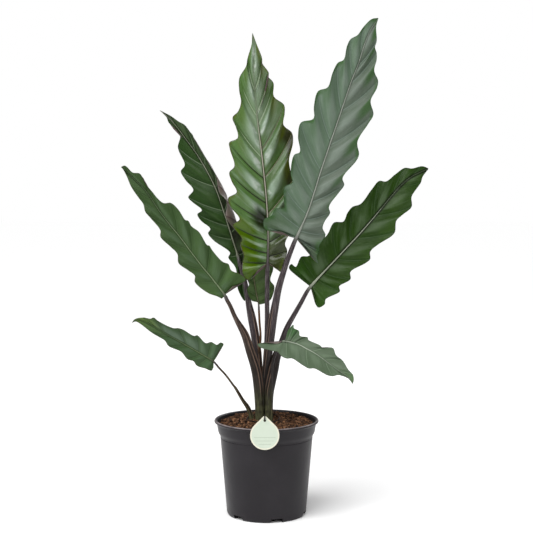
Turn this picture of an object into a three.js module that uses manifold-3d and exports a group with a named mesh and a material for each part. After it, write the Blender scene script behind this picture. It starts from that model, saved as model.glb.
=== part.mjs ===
// Potted Alocasia lauterbachiana: a pot filled with soil, eight leaves on their stalks, a tag and its tie.
// Millimetres, +Z up, the origin at the centre of the pot's flat underside. -Y faces the viewer.
import * as THREE from "three";
import { mergeVertices } from "three/addons/utils/BufferGeometryUtils.js";
import Module from "manifold-3d";

const wasm = await Module();
wasm.setup();

// Driving dimensions of the pot, from its underside up.
const POT = {
  footRadius: 71.6,
  footRound: 4,
  bodyTopRadius: 83.4,
  bodyTop: 143,
  collarFootRadius: 86.2,
  collarFoot: 149,
  collarTopRadius: 88.4,
  collarTop: 163,
  lipRadius: 95,
  lipInnerRadius: 89.6,
  height: 171.5,
  lipRound: 2.4,
  lipStep: 1.2,
  wall: 1.8,
  floor: 2.6,
  sides: 48,
};

const DRAIN = { count: 6, first: 15, width: 21, height: 5.6, inner: 62, outer: 76 };

const SOIL = {
  edgeHeight: 162,
  moundHeight: 173,
  moundCentre: [0, 30],
  moundRadius: 95,
  lump: 1.6,
  lumpWidth: [5.1, 4.7],
  lumpDrift: [7.3, 6.1],
  rings: 6,
  sides: 34,
};

const TAG = { radius: 25.2, thickness: 0.8, centre: [-3, 161.5], tipRound: 3.5, holeRise: 26, holeRadius: 2.2 };

// The tie's two runs lie on the soil at runDepth and cross the rim at rimDepth.
const TIE = {
  radius: 0.8,
  ringWidth: 59,
  ringDepth: 53,
  ringCentre: [-6, 5],
  rise: 2.3,
  runDepth: -40,
  runRise: 3.5,
  rimDepth: -82,
  rimRise: [3, 9],
  loopFront: 1.6,
  steps: 52,
  sides: 5,
};

// Touching pieces keep this gap.
const GAP = 0.35;

const BLADE_THICKNESS = 0.9;
const STALK_SIDES = 10;
const STEPS_PER_SPAN = 3;
// The midrib's bar reaches this far into the blade, and goes on as a ridge.
const NECK_REACH = 16;
const NECK_STEPS = 5;
const TIP_RIDGE = 0.6;

// Depth that the stalks reach below the soil's surface at the crown.
const BURIED = 36;

// Outlines and centrelines are written in the upright plane through the pot's axis, as an eye in front of the
// plant sees them. inSight carries such a point along its line of sight to its own depth.
const EYE = { distance: 2190, height: 609 };

function inSight(x, z, depth) {
  const scale = (EYE.distance + depth) / EYE.distance;
  return new THREE.Vector3(x * scale, depth, EYE.height + (z - EYE.height) * scale);
}

// A vein leaves the midrib this much nearer the leaf's base than the tooth that it ends in.
const VEIN_ADVANCE = 0.48;
// How far a vein bows out on its way to the margin, as a share of its length.
const VEIN_BOW = 0.04;
// The midrib's measuring line is cut into this many steps, and runs this share of its length past the base.
const RIB_SAMPLES = 60;
const RIB_RUN_BACK = 0.6;
// The basal lobes have bent back in full at this share of the midrib's length below its base.
const LOBE_BEND = 0.14;
// Rows of the blade's points: one beside the midrib's ridge, and those at these shares of the way to the margin.
const OUTER_ROWS = [0.4, 0.72, 1];

// Each leaf: its stalk from the soil to the neck as [x, z, depth, radius], its midrib from base to tip as
// [x, z, depth], and both margins from the basal lobe to the tip as [x, z, vein]. vein is whole at a tooth's
// tip, and the notch that follows it is about a third on. Negative veins are in the basal lobe.
// turn is the depth gained per millimetre to the right of the midrib, fold the depth gained on both sides,
// wave the height of the margin's waves, and lobeBack how far the basal lobes bend back. curl rolls the right
// half towards the viewer, on the radii listed from the midrib's base to its tip. A side without an outline
// mirrors the other one. A seated stalk starts beside the sheath of another one, not in the soil.
const LEAVES = [
  {
    name: "centre",
    blade: 0x4f7a3c,
    stalkColour: 0x4b3f41,
    stalk: [[-3.6, 172, 23.3, 4.5], [-3.3, 240, 22.6, 4.7], [-1.5, 282, 19.8, 4.7], [0, 304, 18, 4.6],
      [1, 346, 14.5, 4.3], [1.1, 393, 11, 4.2], [1.5, 440, 10, 3.8]],
    rib: [[2, 452, 10], [3, 501, 12], [0, 564, 17], [-9, 650, 30], [-16, 706, 39], [-21, 766, 49], [-23, 800, 55],
      [-21, 830, 60], [-25, 860, 67]],
    ribRadius: 3.4,
    turn: 0.1,
    fold: -0.12,
    wave: 4.5,
    left: [[-12, 448, -1.3], [-26, 426, -1.1], [-33, 422, -1], [-42, 431, -0.7], [-43, 455, 0], [-41, 466, 0.3],
      [-47, 487, 1], [-44, 496, 1.3], [-60, 521, 2], [-48, 531, 2.3], [-65, 555, 2.8], [-68, 569, 3],
      [-53, 579, 3.3], [-62, 599, 3.7], [-66, 614, 4], [-57, 625, 4.3], [-65, 656, 4.8], [-66, 667, 5],
      [-51, 675, 5.3], [-54, 694, 5.6], [-60, 711, 6], [-50, 722, 6.3], [-45, 739, 6.5], [-48, 758, 6.8],
      [-48, 780, 7], [-36, 801, 7.4], [-33, 816, 8], [-26, 840, 8.4]],
    right: [[15, 450, -1.2], [25, 437, -1], [31, 453, -0.6], [37, 475, 0], [33, 487, 0.3], [46, 520, 1],
      [37, 532, 1.3], [50, 566, 2], [43, 578, 2.3], [46, 600, 3], [40, 634, 3.4], [47, 668, 3.8], [45, 684, 4],
      [30, 698, 4.3], [32, 718, 4.6], [31, 733, 5], [13, 748, 5.3], [12, 772, 6], [2, 784, 6.3], [4, 789, 7],
      [-8, 807, 7.3], [-8, 815, 8], [-16, 836, 8.4]],
  },
  {
    name: "upper_right",
    blade: 0x5c7867,
    stalkColour: 0x4b3f45,
    stalk: [[-1.5, 172, 12.5, 5.4], [-1.3, 217, 12.5, 5.9], [0.4, 260, 10, 6.4], [3.2, 284, 6.5, 6.7],
      [8, 320, 0, 6.9], [12, 352, -6, 6.9], [17, 383, -13, 6.4], [21, 405, -18, 6.1], [31, 439, -24, 5],
      [40, 465, -27, 4.3], [48, 486, -29, 4]],
    rib: [[53, 498, -30], [73, 543, -28], [97, 618, -16], [113, 666, -4], [131, 719, 12], [150, 775, 32],
      [162, 805, 44], [173, 840, 58], [182, 862, 68], [197, 885, 80]],
    ribRadius: 3.5,
    turn: 0.15,
    fold: -0.15,
    wave: 5,
    left: [[42, 501, -1.5], [26, 509, -1.3], [1, 511, -1.1], [-5, 518, -1], [-4, 531, -0.6], [8, 537, -0.3],
      [16, 550, 0], [31, 551, 0.3], [31, 567, 0.6], [32, 588, 1], [46, 597, 1.3], [43, 612, 1.5], [49, 645, 2],
      [59, 650, 2.3], [56, 678, 2.7], [61, 702, 3], [83, 709, 3.4], [84, 731, 3.6], [91, 757, 4],
      [108, 764, 4.4], [117, 790, 4.7], [126, 807, 5], [136, 812, 5.3], [142, 836, 5.7], [148, 848, 6],
      [160, 855, 6.4], [172, 871, 7], [185, 883, 7.5]],
    right: [[58, 493, -1.6], [79, 467, -1.2], [92, 452, -1], [90, 465, -0.7], [94, 474, 0], [94, 483, 0.3],
      [105, 503, 1], [100, 515, 1.3], [104, 528, 1.6], [113, 542, 2], [111, 553, 2.3], [129, 579, 2.7],
      [138, 592, 3], [135, 604, 3.3], [160, 636, 3.8], [164, 646, 4], [161, 668, 4.3], [180, 700, 4.7],
      [189, 716, 5], [184, 740, 5.4], [195, 763, 5.8], [197, 775, 6], [190, 793, 6.3], [194, 812, 6.7],
      [194, 824, 7], [191, 834, 7.3], [194, 845, 8], [193, 870, 8.5]],
  },
  {
    name: "right",
    blade: 0x3c5a33,
    stalkColour: 0x463b40,
    stalk: [[4.5, 172, -2, 6.8], [5.5, 217, -2, 7.5], [9.3, 238, 0, 7.7], [14, 260, 3, 7.6], [18.3, 282, 7, 7.1],
      [27, 309, 12, 5.9], [36.5, 336, 16, 5], [50, 361, 18.5, 4.3], [62, 382, 19.5, 3.9], [71, 399, 20, 3.6]],
    rib: [[79.5, 411.5, 21], [126, 462, 33], [173, 513, 52], [205, 551, 68], [223, 573, 78], [251, 602, 94],
      [288, 621, 116]],
    ribRadius: 3.1,
    turn: -0.25,
    fold: -0.12,
    wave: 4,
    left: [[58, 427, -1.3], [40, 444, -1], [44, 451, -0.8], [52, 446, -0.5], [62, 464, 0], [76, 466, 0.3],
      [95, 491, 0.7], [108, 503, 0.85], [120, 525, 1], [137, 527, 1.3], [144, 542, 1.6], [153, 553, 2],
      [167, 558, 2.3], [187, 584, 2.7], [200, 599, 3], [212, 598, 3.3], [229, 611, 3.7], [245, 622, 4],
      [258, 621, 4.4], [276, 625, 5]],
    right: [[84.5, 395, -1.4], [87, 381, -1.2], [93, 373, -1], [104, 379, -0.6], [106, 388, -0.3], [131, 402, 0],
      [130, 411, 0.3], [150, 424, 1], [150, 437, 1.3], [177, 453, 1.8], [185, 460, 2], [185, 473, 2.3],
      [199, 486, 2.6], [224, 502, 2.9], [229, 509, 3], [231, 528, 3.4], [242, 539, 3.6], [258, 553, 4],
      [258, 571, 4.4], [274, 596, 5], [277, 606, 5.4]],
  },
  {
    name: "upper_left",
    blade: 0x3a5637,
    stalkColour: 0x463b40,
    stalk: [[-14, 172, 18, 5.5], [-15, 240, 20, 5.8], [-18.5, 296, 28, 6], [-24, 333, 36, 6.1], [-28.5, 357, 43, 5.8],
      [-34, 392, 53, 5], [-37.6, 415, 58, 4.4], [-43.5, 438, 58, 4], [-48, 453, 61, 3.7]],
    rib: [[-51, 465, 66], [-60, 494, 68], [-75, 541, 75], [-91, 587, 88], [-117, 636, 108], [-137, 665, 121],
      [-168, 705, 139], [-189, 724, 150]],
    ribRadius: 3.1,
    turn: -0.1,
    fold: -0.1,
    wave: 4,
    lobeBack: 14,
    left: [[-45, 430, -1.5], [-37, 400, -1.2], [-39, 385, -1], [-51, 406, -0.6], [-55, 444, -0.3], [-68, 463, 0],
      [-65, 471, 0.3], [-95, 494, 0.8], [-104, 506, 1], [-100, 514, 1.3], [-117, 529, 1.7], [-123, 540, 2],
      [-115, 547, 2.3], [-132, 562, 2.8], [-139, 570, 3], [-130, 583, 3.3], [-144, 601, 3.7], [-152, 616, 4],
      [-145, 627, 4.3], [-157, 658, 5], [-153, 679, 5.4], [-167, 697, 5.8], [-173, 702, 6], [-177, 712, 6.4]],
    right: [[-36, 433, -1.5], [-26, 404, -1.2], [-16, 392, -1], [-18, 416, -0.6], [-36, 450, -0.3], [-36, 473, 0],
      [-33, 487, 0.3], [-25, 526, 0.8], [-25, 552, 1], [-42, 562, 1.2], [-52, 571, 1.3], [-51, 589, 1.8],
      [-60, 602, 2], [-74, 611, 2.2], [-84, 618, 2.4], [-88, 628, 2.7], [-98, 641, 3], [-110, 656, 3.35],
      [-115, 672, 3.8], [-119, 682, 4], [-132, 687, 4.35], [-144, 699, 5], [-155, 704, 5.4], [-170, 714, 5.8]],
    curl: [22, 18, 16, 16.5, 13.5, 13, 11, 10, 10, 13, 18, 20, 20],
  },
  {
    name: "left",
    blade: 0x4a6a41,
    stalkColour: 0x463d3f,
    stalk: [[-11.8, 172, 0, 8.5], [-14.5, 217, -2, 7.8], [-20.3, 260, -5, 7.4], [-31, 295, -8, 6.4],
      [-39.5, 322, -12, 5.6], [-55, 353, -17, 3.9], [-66, 378, -19, 3.5], [-71, 387, -19.5, 3.4]],
    rib: [[-74, 394, -20], [-94, 421, -27], [-120, 453, -36], [-155, 500, -50], [-186, 539, -64], [-215, 582, -79],
      [-231, 598, -88], [-258, 624, -104]],
    ribRadius: 3.1,
    turn: 0.35,
    fold: -0.12,
    wave: 4,
    left: [[-80, 389, -1], [-88, 393, -0.6], [-106, 400, -0.2], [-128, 419, 0], [-128, 430, 0.3], [-140, 440, 0.6],
      [-157, 453, 1], [-159, 469, 1.3], [-171, 482, 1.6], [-189, 500, 2], [-189, 511, 2.3], [-206, 533, 2.7],
      [-216, 545, 3], [-219, 558, 3.3], [-227, 569, 3.6], [-241, 590, 4], [-248, 607, 4.4], [-254, 619, 4.8]],
    right: [[-61, 411, -1.4], [-49, 415, -1.2], [-37, 423, -1], [-45, 432, -0.8], [-63, 440, -0.3], [-68, 451, 0],
      [-78, 455, 0.3], [-97, 476, 0.8], [-102, 484, 1], [-106, 485, 1.2], [-120, 508, 1.6], [-134, 519, 1.9],
      [-139, 528, 2], [-145, 530, 2.2], [-156, 547, 2.6], [-170, 560, 3], [-184, 560, 3.3], [-206, 583, 3.6],
      [-215, 594, 3.8], [-225, 612, 4], [-238, 614, 4.3], [-251, 626, 5]],
  },
  {
    name: "low_left",
    blade: 0x4b6a3e,
    stalkColour: 0x4a3a33,
    stalk: [[-27, 172, 3, 4.4], [-33, 191, 1, 4.1], [-43, 206, -5, 3.1], [-56, 228, -15, 2.4], [-59.5, 232.5, -17, 1.9],
      [-74, 252, -29, 1.8], [-86, 265, -37, 1.8], [-90, 270, -41, 1.8]],
    rib: [[-95, 275.5, -44], [-122, 292, -55], [-146, 306, -67], [-176, 323, -84], [-212, 344, -107],
      [-230, 351, -122], [-241, 346, -136]],
    ribRadius: 1.7,
    turn: 0.45,
    fold: -0.12,
    wave: 2.2,
    left: [[-95, 265, -1.2], [-99, 259, -1], [-110, 263, -0.4], [-125, 268, 0], [-131, 276, 0.3], [-142, 280, 1],
      [-153, 293, 1.3], [-176, 304, 2], [-182, 313, 2.3], [-206, 328, 3], [-234, 348, 3.5]],
    right: [[-86, 293, -1.2], [-77, 307, -1], [-82, 310, -0.8], [-89, 306, -0.5], [-99, 311, 0], [-109, 309, 0.3],
      [-124, 323, 1], [-130, 322, 1.2], [-149, 333, 1.8], [-158, 336, 2], [-167, 336, 2.3], [-196, 350, 2.8],
      [-202, 355, 3], [-208, 353, 3.3], [-221, 355, 4], [-236, 352, 4.5]],
  },
  {
    name: "low_right",
    blade: 0x5d7657,
    stalkColour: 0x4f3d35,
    stalk: [[9.5, 172, -11.8, 2.2], [9.5, 230, -13.8, 2.1], [11, 270, -18, 2.1], [18, 294, -34, 2.2],
      [25, 306, -45, 2.3]],
    rib: [[30, 312, -50], [55, 307, -60], [73, 298, -71], [92, 287, -85], [112, 272, -102], [131, 258, -118],
      [147, 247, -131], [155, 235, -142]],
    ribRadius: 2.1,
    turn: -0.5,
    fold: -0.12,
    wave: 2.5,
    left: [[39, 333, -1.3], [48, 342, -1], [49, 336, -0.7], [58, 331, 0], [60, 322, 0.3], [74, 319, 1],
      [75, 315, 1.2], [96, 305, 1.6], [100, 301, 1.7], [119, 300, 2], [125, 287, 2.3], [137, 277, 3],
      [147, 261, 3.5], [155, 252, 4], [157, 243, 4.5]],
    right: [[21, 307.5, -1.6], [-4, 309, -1.2], [-16, 307, -1], [-13, 302, -0.9], [10, 295, -0.5], [20, 293, -0.3],
      [27, 285, -0.1], [36, 281, 0], [46, 281, 0.3], [65, 269, 0.8], [76, 263, 1], [86, 263, 1.3],
      [109, 251, 1.8], [119, 249, 2], [129, 251, 2.3], [147, 245, 3]],
  },
  {
    name: "inner",
    blade: 0x42562f,
    stalkColour: 0x6a4a30,
    stalk: [[-14.1, 290, 20, 2], [-10.6, 318, 24, 2], [-12.5, 347, 31, 2], [-13.5, 368, 36, 1.9]],
    seated: true,
    rib: [[-14, 378, 38], [-19, 403, 42], [-23, 430, 46], [-26, 470, 50], [-27, 520, 54], [-25, 572, 58]],
    ribRadius: 1.6,
    turn: 0,
    fold: -0.1,
    wave: 2.5,
    left: [[-22, 384, -1], [-27, 386, -0.8], [-35, 405, 0], [-31, 415, 0.3], [-36, 440, 1], [-33, 450, 1.3],
      [-38, 478, 2], [-35, 487, 2.3], [-41, 515, 3], [-37, 524, 3.3], [-36, 548, 4], [-31, 556, 4.3]],
    right: [[0, 381, -1.2], [8, 388, -1], [14, 411, 0], [7, 422, 0.3], [12, 445, 1], [6, 454, 1.3],
      [6, 480, 2], [-1, 490, 2.3], [-3, 515, 3], [-9, 524, 3.3], [-13, 548, 4], [-18, 556, 4.3]],
  },
];

// A closed body from positions and triangles that face out.
function body(points, triangles) {
  const geometry = new THREE.BufferGeometry();
  geometry.setAttribute("position", new THREE.Float32BufferAttribute(points.flatMap((p) => [p.x, p.y, p.z]), 3));
  geometry.setIndex(triangles.flat());
  return geometry;
}

function solidOf(geometry) {
  const bare = geometry.clone();
  bare.deleteAttribute("normal");
  bare.deleteAttribute("uv");
  const merged = mergeVertices(bare, 1e-4);
  return new wasm.Manifold(
    new wasm.Mesh({
      numProp: 3,
      vertProperties: new Float32Array(merged.attributes.position.array),
      triVerts: new Uint32Array(merged.index.array),
    }),
  );
}

function geometryOf(solid) {
  const mesh = solid.getMesh();
  const geometry = new THREE.BufferGeometry();
  geometry.setAttribute("position", new THREE.BufferAttribute(mesh.vertProperties, mesh.numProp));
  geometry.setIndex(new THREE.BufferAttribute(mesh.triVerts, 1));
  geometry.computeVertexNormals();
  return geometry;
}

// A round bar along a curve from t0 to t1, with flat ends. radiusAt gives its radius at t.
function bar(curve, t0, t1, steps, sides, radiusAt) {
  const points = [];
  const triangles = [];
  let across = new THREE.Vector3(1, 0, 0);
  for (let step = 0; step <= steps; step++) {
    const t = t0 + ((t1 - t0) * step) / steps;
    const centre = curve.getPoint(t);
    const along = curve.getTangent(t);
    across = across.clone().addScaledVector(along, -across.dot(along)).normalize();
    const up = new THREE.Vector3().crossVectors(along, across);
    for (let side = 0; side < sides; side++) {
      const angle = (2 * Math.PI * side) / sides;
      const spoke = across.clone().multiplyScalar(Math.cos(angle)).addScaledVector(up, Math.sin(angle));
      points.push(centre.clone().addScaledVector(spoke, radiusAt(t)));
    }
  }
  const ringOf = (step, side) => step * sides + (side % sides);
  for (let step = 0; step < steps; step++) {
    for (let side = 0; side < sides; side++) {
      const corner = [ringOf(step, side), ringOf(step, side + 1), ringOf(step + 1, side + 1), ringOf(step + 1, side)];
      triangles.push([corner[0], corner[1], corner[2]], [corner[0], corner[2], corner[3]]);
    }
  }
  for (let side = 1; side < sides - 1; side++) {
    triangles.push([0, side + 1, side]);
    triangles.push([ringOf(steps, 0), ringOf(steps, side), ringOf(steps, side + 1)]);
  }
  return body(points, triangles);
}

// The value at position s along a list, between its entries in straight lines.
function along(list, s) {
  const first = Math.max(0, Math.min(list.length - 2, Math.floor(s)));
  return list[first] + (list[first + 1] - list[first]) * (s - first);
}

// The line of a leaf: stalk, neck and midrib are one smooth curve.
function leafLine(leaf) {
  const stalk = leaf.stalk.map(([x, z, depth]) => inSight(x, z, depth));
  const radii = leaf.stalk.map(([, , , radius]) => radius);
  if (!leaf.seated) {
    const [x, z, depth, radius] = leaf.stalk[0];
    stalk.unshift(inSight(x, z - BURIED, depth));
    radii.unshift(radius * 0.9);
  }
  const rib = leaf.rib.map(([x, z, depth]) => inSight(x, z, depth));
  const points = [...stalk, ...rib];
  const curve = new THREE.CatmullRomCurve3(points, false, "centripetal");
  const spans = points.length - 1;
  const neck = (stalk.length - 1) / spans;
  const base = stalk.length / spans;
  rib.forEach((_, index) => {
    const share = index / (rib.length - 1);
    radii.push(leaf.ribRadius * (1 - share) + TIP_RIDGE * share);
  });
  return { curve, neck, base, radiusAt: (t) => along(radii, t * spans), spans };
}

// The curve's parameter that lies a short distance past t.
function past(curve, t, distance) {
  const step = 1e-4;
  return t + (distance * step) / curve.getPoint(t).distanceTo(curve.getPoint(t + step));
}

function stalkGeometry(line, grown) {
  const end = past(line.curve, line.neck, -GAP / 2);
  const steps = STEPS_PER_SPAN * Math.round(line.neck * line.spans);
  return bar(line.curve, 0, end, steps, STALK_SIDES, (t) => line.radiusAt(t) + grown);
}

// The midrib as seen, run on backwards past the base, with the depth at each of its points.
function seenRib(leaf) {
  const points = leaf.rib.map(([x, z, depth]) => new THREE.Vector3(x, z, depth));
  const curve = new THREE.CatmullRomCurve3(points, false, "centripetal");
  const samples = [];
  for (let index = 0; index <= RIB_SAMPLES; index++) {
    samples.push(curve.getPoint(index / RIB_SAMPLES));
  }
  const length = samples.slice(1).reduce((sum, p, index) => sum + flatDistance(p, samples[index]), 0);
  let run = 0;
  const stations = samples.map((p, index) => {
    run += index ? flatDistance(p, samples[index - 1]) : 0;
    return { x: p.x, z: p.y, depth: p.z, u: run / length };
  });
  const [first, second] = stations;
  const back = RIB_RUN_BACK / (second.u - first.u);
  stations.unshift({
    x: first.x - (second.x - first.x) * back,
    z: first.z - (second.z - first.z) * back,
    depth: first.depth - (second.depth - first.depth) * back,
    u: -RIB_RUN_BACK,
  });
  return { stations, length };
}

function flatDistance(p, q) {
  return Math.hypot(p.x - q.x, p.y - q.y);
}

// Where a seen point lies beside the midrib: u along it, side to its right, and the station there.
function besideRib(rib, x, z) {
  let best = null;
  for (let index = 0; index < rib.stations.length - 1; index++) {
    const from = rib.stations[index];
    const to = rib.stations[index + 1];
    const dx = to.x - from.x;
    const dz = to.z - from.z;
    const share = THREE.MathUtils.clamp(((x - from.x) * dx + (z - from.z) * dz) / (dx * dx + dz * dz), 0, 1);
    const px = from.x + dx * share;
    const pz = from.z + dz * share;
    const distance = Math.hypot(x - px, z - pz);
    if (!best || distance < best.distance) {
      const length = Math.hypot(dx, dz);
      const side = ((x - px) * dz - (z - pz) * dx) / length;
      best = {
        distance,
        u: from.u + (to.u - from.u) * share,
        side: Math.sign(side) * distance,
        x: px,
        z: pz,
        depth: from.depth + (to.depth - from.depth) * share,
        right: [dz / length, -dx / length],
      };
    }
  }
  return best;
}

function ribAt(rib, u) {
  const next = rib.stations.findIndex((station) => station.u >= u && station.u > 0);
  const to = rib.stations[Math.max(next, 1)];
  const from = rib.stations[Math.max(next, 1) - 1];
  const share = THREE.MathUtils.clamp((u - from.u) / (to.u - from.u), 0, 1);
  const mix = (key) => from[key] + (to[key] - from[key]) * share;
  return { x: mix("x"), z: mix("z"), depth: mix("depth") };
}

// Where on the midrib the vein starts that ends beside it at u.
function veinRoot(u) {
  return u <= 0 ? 0 : u * (1 - VEIN_ADVANCE * Math.sqrt(Math.max(0, 1 - u)));
}

// The bow of a vein: in full from the first side vein on, and fading out into the basal lobe.
function bowOf(vein) {
  return VEIN_BOW * THREE.MathUtils.smoothstep(vein, -1, 1);
}

// A margin written out in full. A side without its own outline mirrors the other one.
function marginOf(leaf, rib, key) {
  if (leaf[key]) {
    return leaf[key];
  }
  const other = key === "left" ? leaf.right : leaf.left;
  return other.map(([x, z, vein]) => {
    const beside = besideRib(rib, x, z);
    return [beside.x - beside.right[0] * beside.side, beside.z - beside.right[1] * beside.side, vein];
  });
}

// A point of the blade, from its flat place as seen, the share of its way to the margin and its vein number.
function bladePoint(leaf, rib, x, z, share, vein, curl) {
  const beside = besideRib(rib, x, z);
  const reach = Math.abs(beside.side);
  let side = beside.side;
  let depth = beside.depth + leaf.turn * beside.side + leaf.fold * reach;
  if (curl) {
    const radius = along(curl, THREE.MathUtils.clamp(beside.u, 0, 1) * (curl.length - 1));
    side = Math.sign(side) * radius * Math.sin(reach / radius);
    depth -= radius * (1 - Math.cos(reach / radius));
  }
  depth += leaf.wave * share * Math.cos(2 * Math.PI * vein) * Math.min(1, 4 * (1 - beside.u));
  depth += (leaf.lobeBack ?? 0) * THREE.MathUtils.clamp(-beside.u / LOBE_BEND, 0, 1);
  return inSight(beside.x + beside.right[0] * side, beside.z + beside.right[1] * side, depth);
}

// One thin closed body: both halves of the blade share the midrib's points, and its two faces are split
// into the same triangles.
function sheetGeometry(leaf) {
  const rib = seenRib(leaf);
  const sides = ["left", "right"].map((key) => {
    let root = 0;
    return marginOf(leaf, rib, key).map(([x, z, vein]) => {
      root = Math.max(root, veinRoot(besideRib(rib, x, z).u));
      return { x, z, vein, root };
    });
  });
  const roots = [...new Set([0, 1, ...sides.flat().map((column) => column.root)])].sort((a, b) => a - b);
  const flat = BLADE_THICKNESS / 2;
  const full = (root) => leaf.ribRadius * (1 - root) + TIP_RIDGE * root;
  const ridge = (root) => flat + (full(root) - flat) * THREE.MathUtils.smoothstep(root * rib.length, 0, NECK_REACH);
  const points = roots.map((root) => {
    const at = ribAt(rib, root);
    return inSight(at.x, at.z, at.depth);
  });
  const halves = roots.map(ridge);
  const triangles = [];
  sides.forEach((columns, sideIndex) => {
    const put = (a, b, c) => triangles.push(sideIndex ? [a, b, c] : [a, c, b]);
    const curl = sideIndex ? leaf.curl : null;
    const first = points.length;
    for (const column of columns) {
      const start = ribAt(rib, column.root);
      const dx = column.x - start.x;
      const dz = column.z - start.z;
      const ridgeShare = Math.min(0.25, (1.1 * full(column.root)) / Math.hypot(dx, dz));
      for (const share of [ridgeShare, ...OUTER_ROWS]) {
        const bow = bowOf(column.vein) * 4 * share * (1 - share) * (sideIndex ? 1 : -1);
        const x = start.x + dx * share + dz * bow;
        const z = start.z + dz * share - dx * bow;
        points.push(bladePoint(leaf, rib, x, z, share, column.vein, curl));
        halves.push(flat);
      }
    }
    const rows = OUTER_ROWS.length + 1;
    const at = (column, row) => first + column * rows + row;
    const tip = roots.length - 1;
    let station = 0;
    for (let column = 0; column < columns.length; column++) {
      while (roots[station] < columns[column].root) {
        put(station, at(column === 0 ? 0 : column - 1, 0), station + 1);
        station += 1;
      }
      if (column + 1 < columns.length) {
        const next = columns[column + 1].root;
        if (next === roots[station]) {
          put(station, at(column, 0), at(column + 1, 0));
        } else {
          const middle = (columns[column].root + next) / 2;
          while (roots[station + 1] <= middle) {
            put(station, at(column, 0), station + 1);
            station += 1;
          }
          put(station, at(column, 0), at(column + 1, 0));
          while (roots[station] < next) {
            put(station, at(column + 1, 0), station + 1);
            station += 1;
          }
        }
        for (let row = 0; row < rows - 1; row++) {
          put(at(column, row), at(column, row + 1), at(column + 1, row + 1));
          put(at(column, row), at(column + 1, row + 1), at(column + 1, row));
        }
      }
    }
    const last = columns.length - 1;
    while (station < tip) {
      put(station, at(last, 0), station + 1);
      station += 1;
    }
    for (let row = 0; row < rows - 1; row++) {
      put(at(last, row), at(last, row + 1), tip);
    }
  });
  return thicken(points, triangles, halves);
}

// Two copies of a sheet, each as far from it at a point as halves says, joined along its open edges.
function thicken(points, triangles, halves) {
  const sheet = body(points, triangles);
  sheet.computeVertexNormals();
  const normals = sheet.attributes.normal;
  const offset = (sign) =>
    points.map((p, index) =>
      p.clone().addScaledVector(new THREE.Vector3().fromBufferAttribute(normals, index), sign * halves[index]),
    );
  const count = points.length;
  const open = new Map();
  for (const triangle of triangles) {
    for (let corner = 0; corner < 3; corner++) {
      const from = triangle[corner];
      const to = triangle[(corner + 1) % 3];
      if (!open.delete(`${to},${from}`)) {
        open.set(`${from},${to}`, [from, to]);
      }
    }
  }
  const faces = triangles.map(([a, b, c]) => [a, b, c]);
  faces.push(...triangles.map(([a, b, c]) => [a + count, c + count, b + count]));
  for (const [from, to] of open.values()) {
    faces.push([to, from, from + count], [to, from + count, to + count]);
  }
  return body([...offset(1), ...offset(-1)], faces);
}

// A blade with the start of its midrib, which goes on from the stalk.
function bladeGeometry(leaf, line) {
  const start = past(line.curve, line.neck, GAP / 2);
  const end = past(line.curve, line.base, NECK_REACH);
  const radiusAt = (t) => line.radiusAt(t) * (t < line.base ? 1 : 1 - (0.5 * (t - line.base)) / (end - line.base));
  const rib = bar(line.curve, start, end, NECK_STEPS, STALK_SIDES, radiusAt);
  return geometryOf(solidOf(sheetGeometry(leaf)).add(solidOf(rib)));
}

// Turns a profile of [radius, height] about the pot's axis.
function turned(profile, sides) {
  const lathe = new THREE.LatheGeometry(profile.map(([r, z]) => new THREE.Vector2(r, z)), sides);
  return lathe.rotateX(Math.PI / 2);
}

function potGeometry() {
  const p = POT;
  const inner = (radius) => radius - p.wall;
  const lipFoot = p.collarTop + p.lipStep;
  const profile = [
    [0, 0],
    [p.footRadius - p.footRound, 0],
    [p.footRadius - p.footRound * 0.3, p.footRound * 0.3],
    [p.footRadius, p.footRound],
    [p.bodyTopRadius, p.bodyTop],
    [p.collarFootRadius, p.collarFoot],
    [p.collarTopRadius, p.collarTop],
    [p.lipRadius - p.lipStep, lipFoot],
    [p.lipRadius, lipFoot + p.lipRound],
    [p.lipRadius, p.height - p.lipRound],
    [p.lipRadius - 0.6 * p.lipRound, p.height - 0.2 * p.lipRound],
    [p.lipRadius - 1.25 * p.lipRound, p.height],
    [p.lipInnerRadius, p.height - 0.7 * p.lipRound],
    [inner(p.collarTopRadius), p.collarTop],
    [inner(p.collarFootRadius), p.collarFoot],
    [inner(p.bodyTopRadius), p.bodyTop],
    [inner(p.footRadius), p.floor],
    [0, p.floor],
  ];
  let pot = solidOf(turned(profile, p.sides));
  for (let index = 0; index < DRAIN.count; index++) {
    const slot = new THREE.BoxGeometry(DRAIN.width, DRAIN.outer - DRAIN.inner, 2 * DRAIN.height);
    slot.translate(0, -(DRAIN.outer + DRAIN.inner) / 2, 0);
    slot.rotateZ(THREE.MathUtils.degToRad(DRAIN.first + (360 / DRAIN.count) * index));
    pot = pot.subtract(solidOf(slot));
  }
  return geometryOf(pot);
}

// The soil's surface: a mound round the crown with rounded lumps.
function soilHeight(x, y) {
  const [cx, cy] = SOIL.moundCentre;
  const mound = THREE.MathUtils.smoothstep(1 - Math.hypot(x - cx, y - cy) / SOIL.moundRadius, 0, 1);
  const [wide, deep] = SOIL.lumpWidth;
  const [driftY, driftX] = SOIL.lumpDrift;
  const lumps = Math.sin(x / wide + 1.3 * Math.sin(y / driftY)) * Math.sin(y / deep + 1.1 * Math.sin(x / driftX));
  return SOIL.edgeHeight + (SOIL.moundHeight - SOIL.edgeHeight) * mound + SOIL.lump * lumps * (1 - 0.6 * mound);
}

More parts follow.
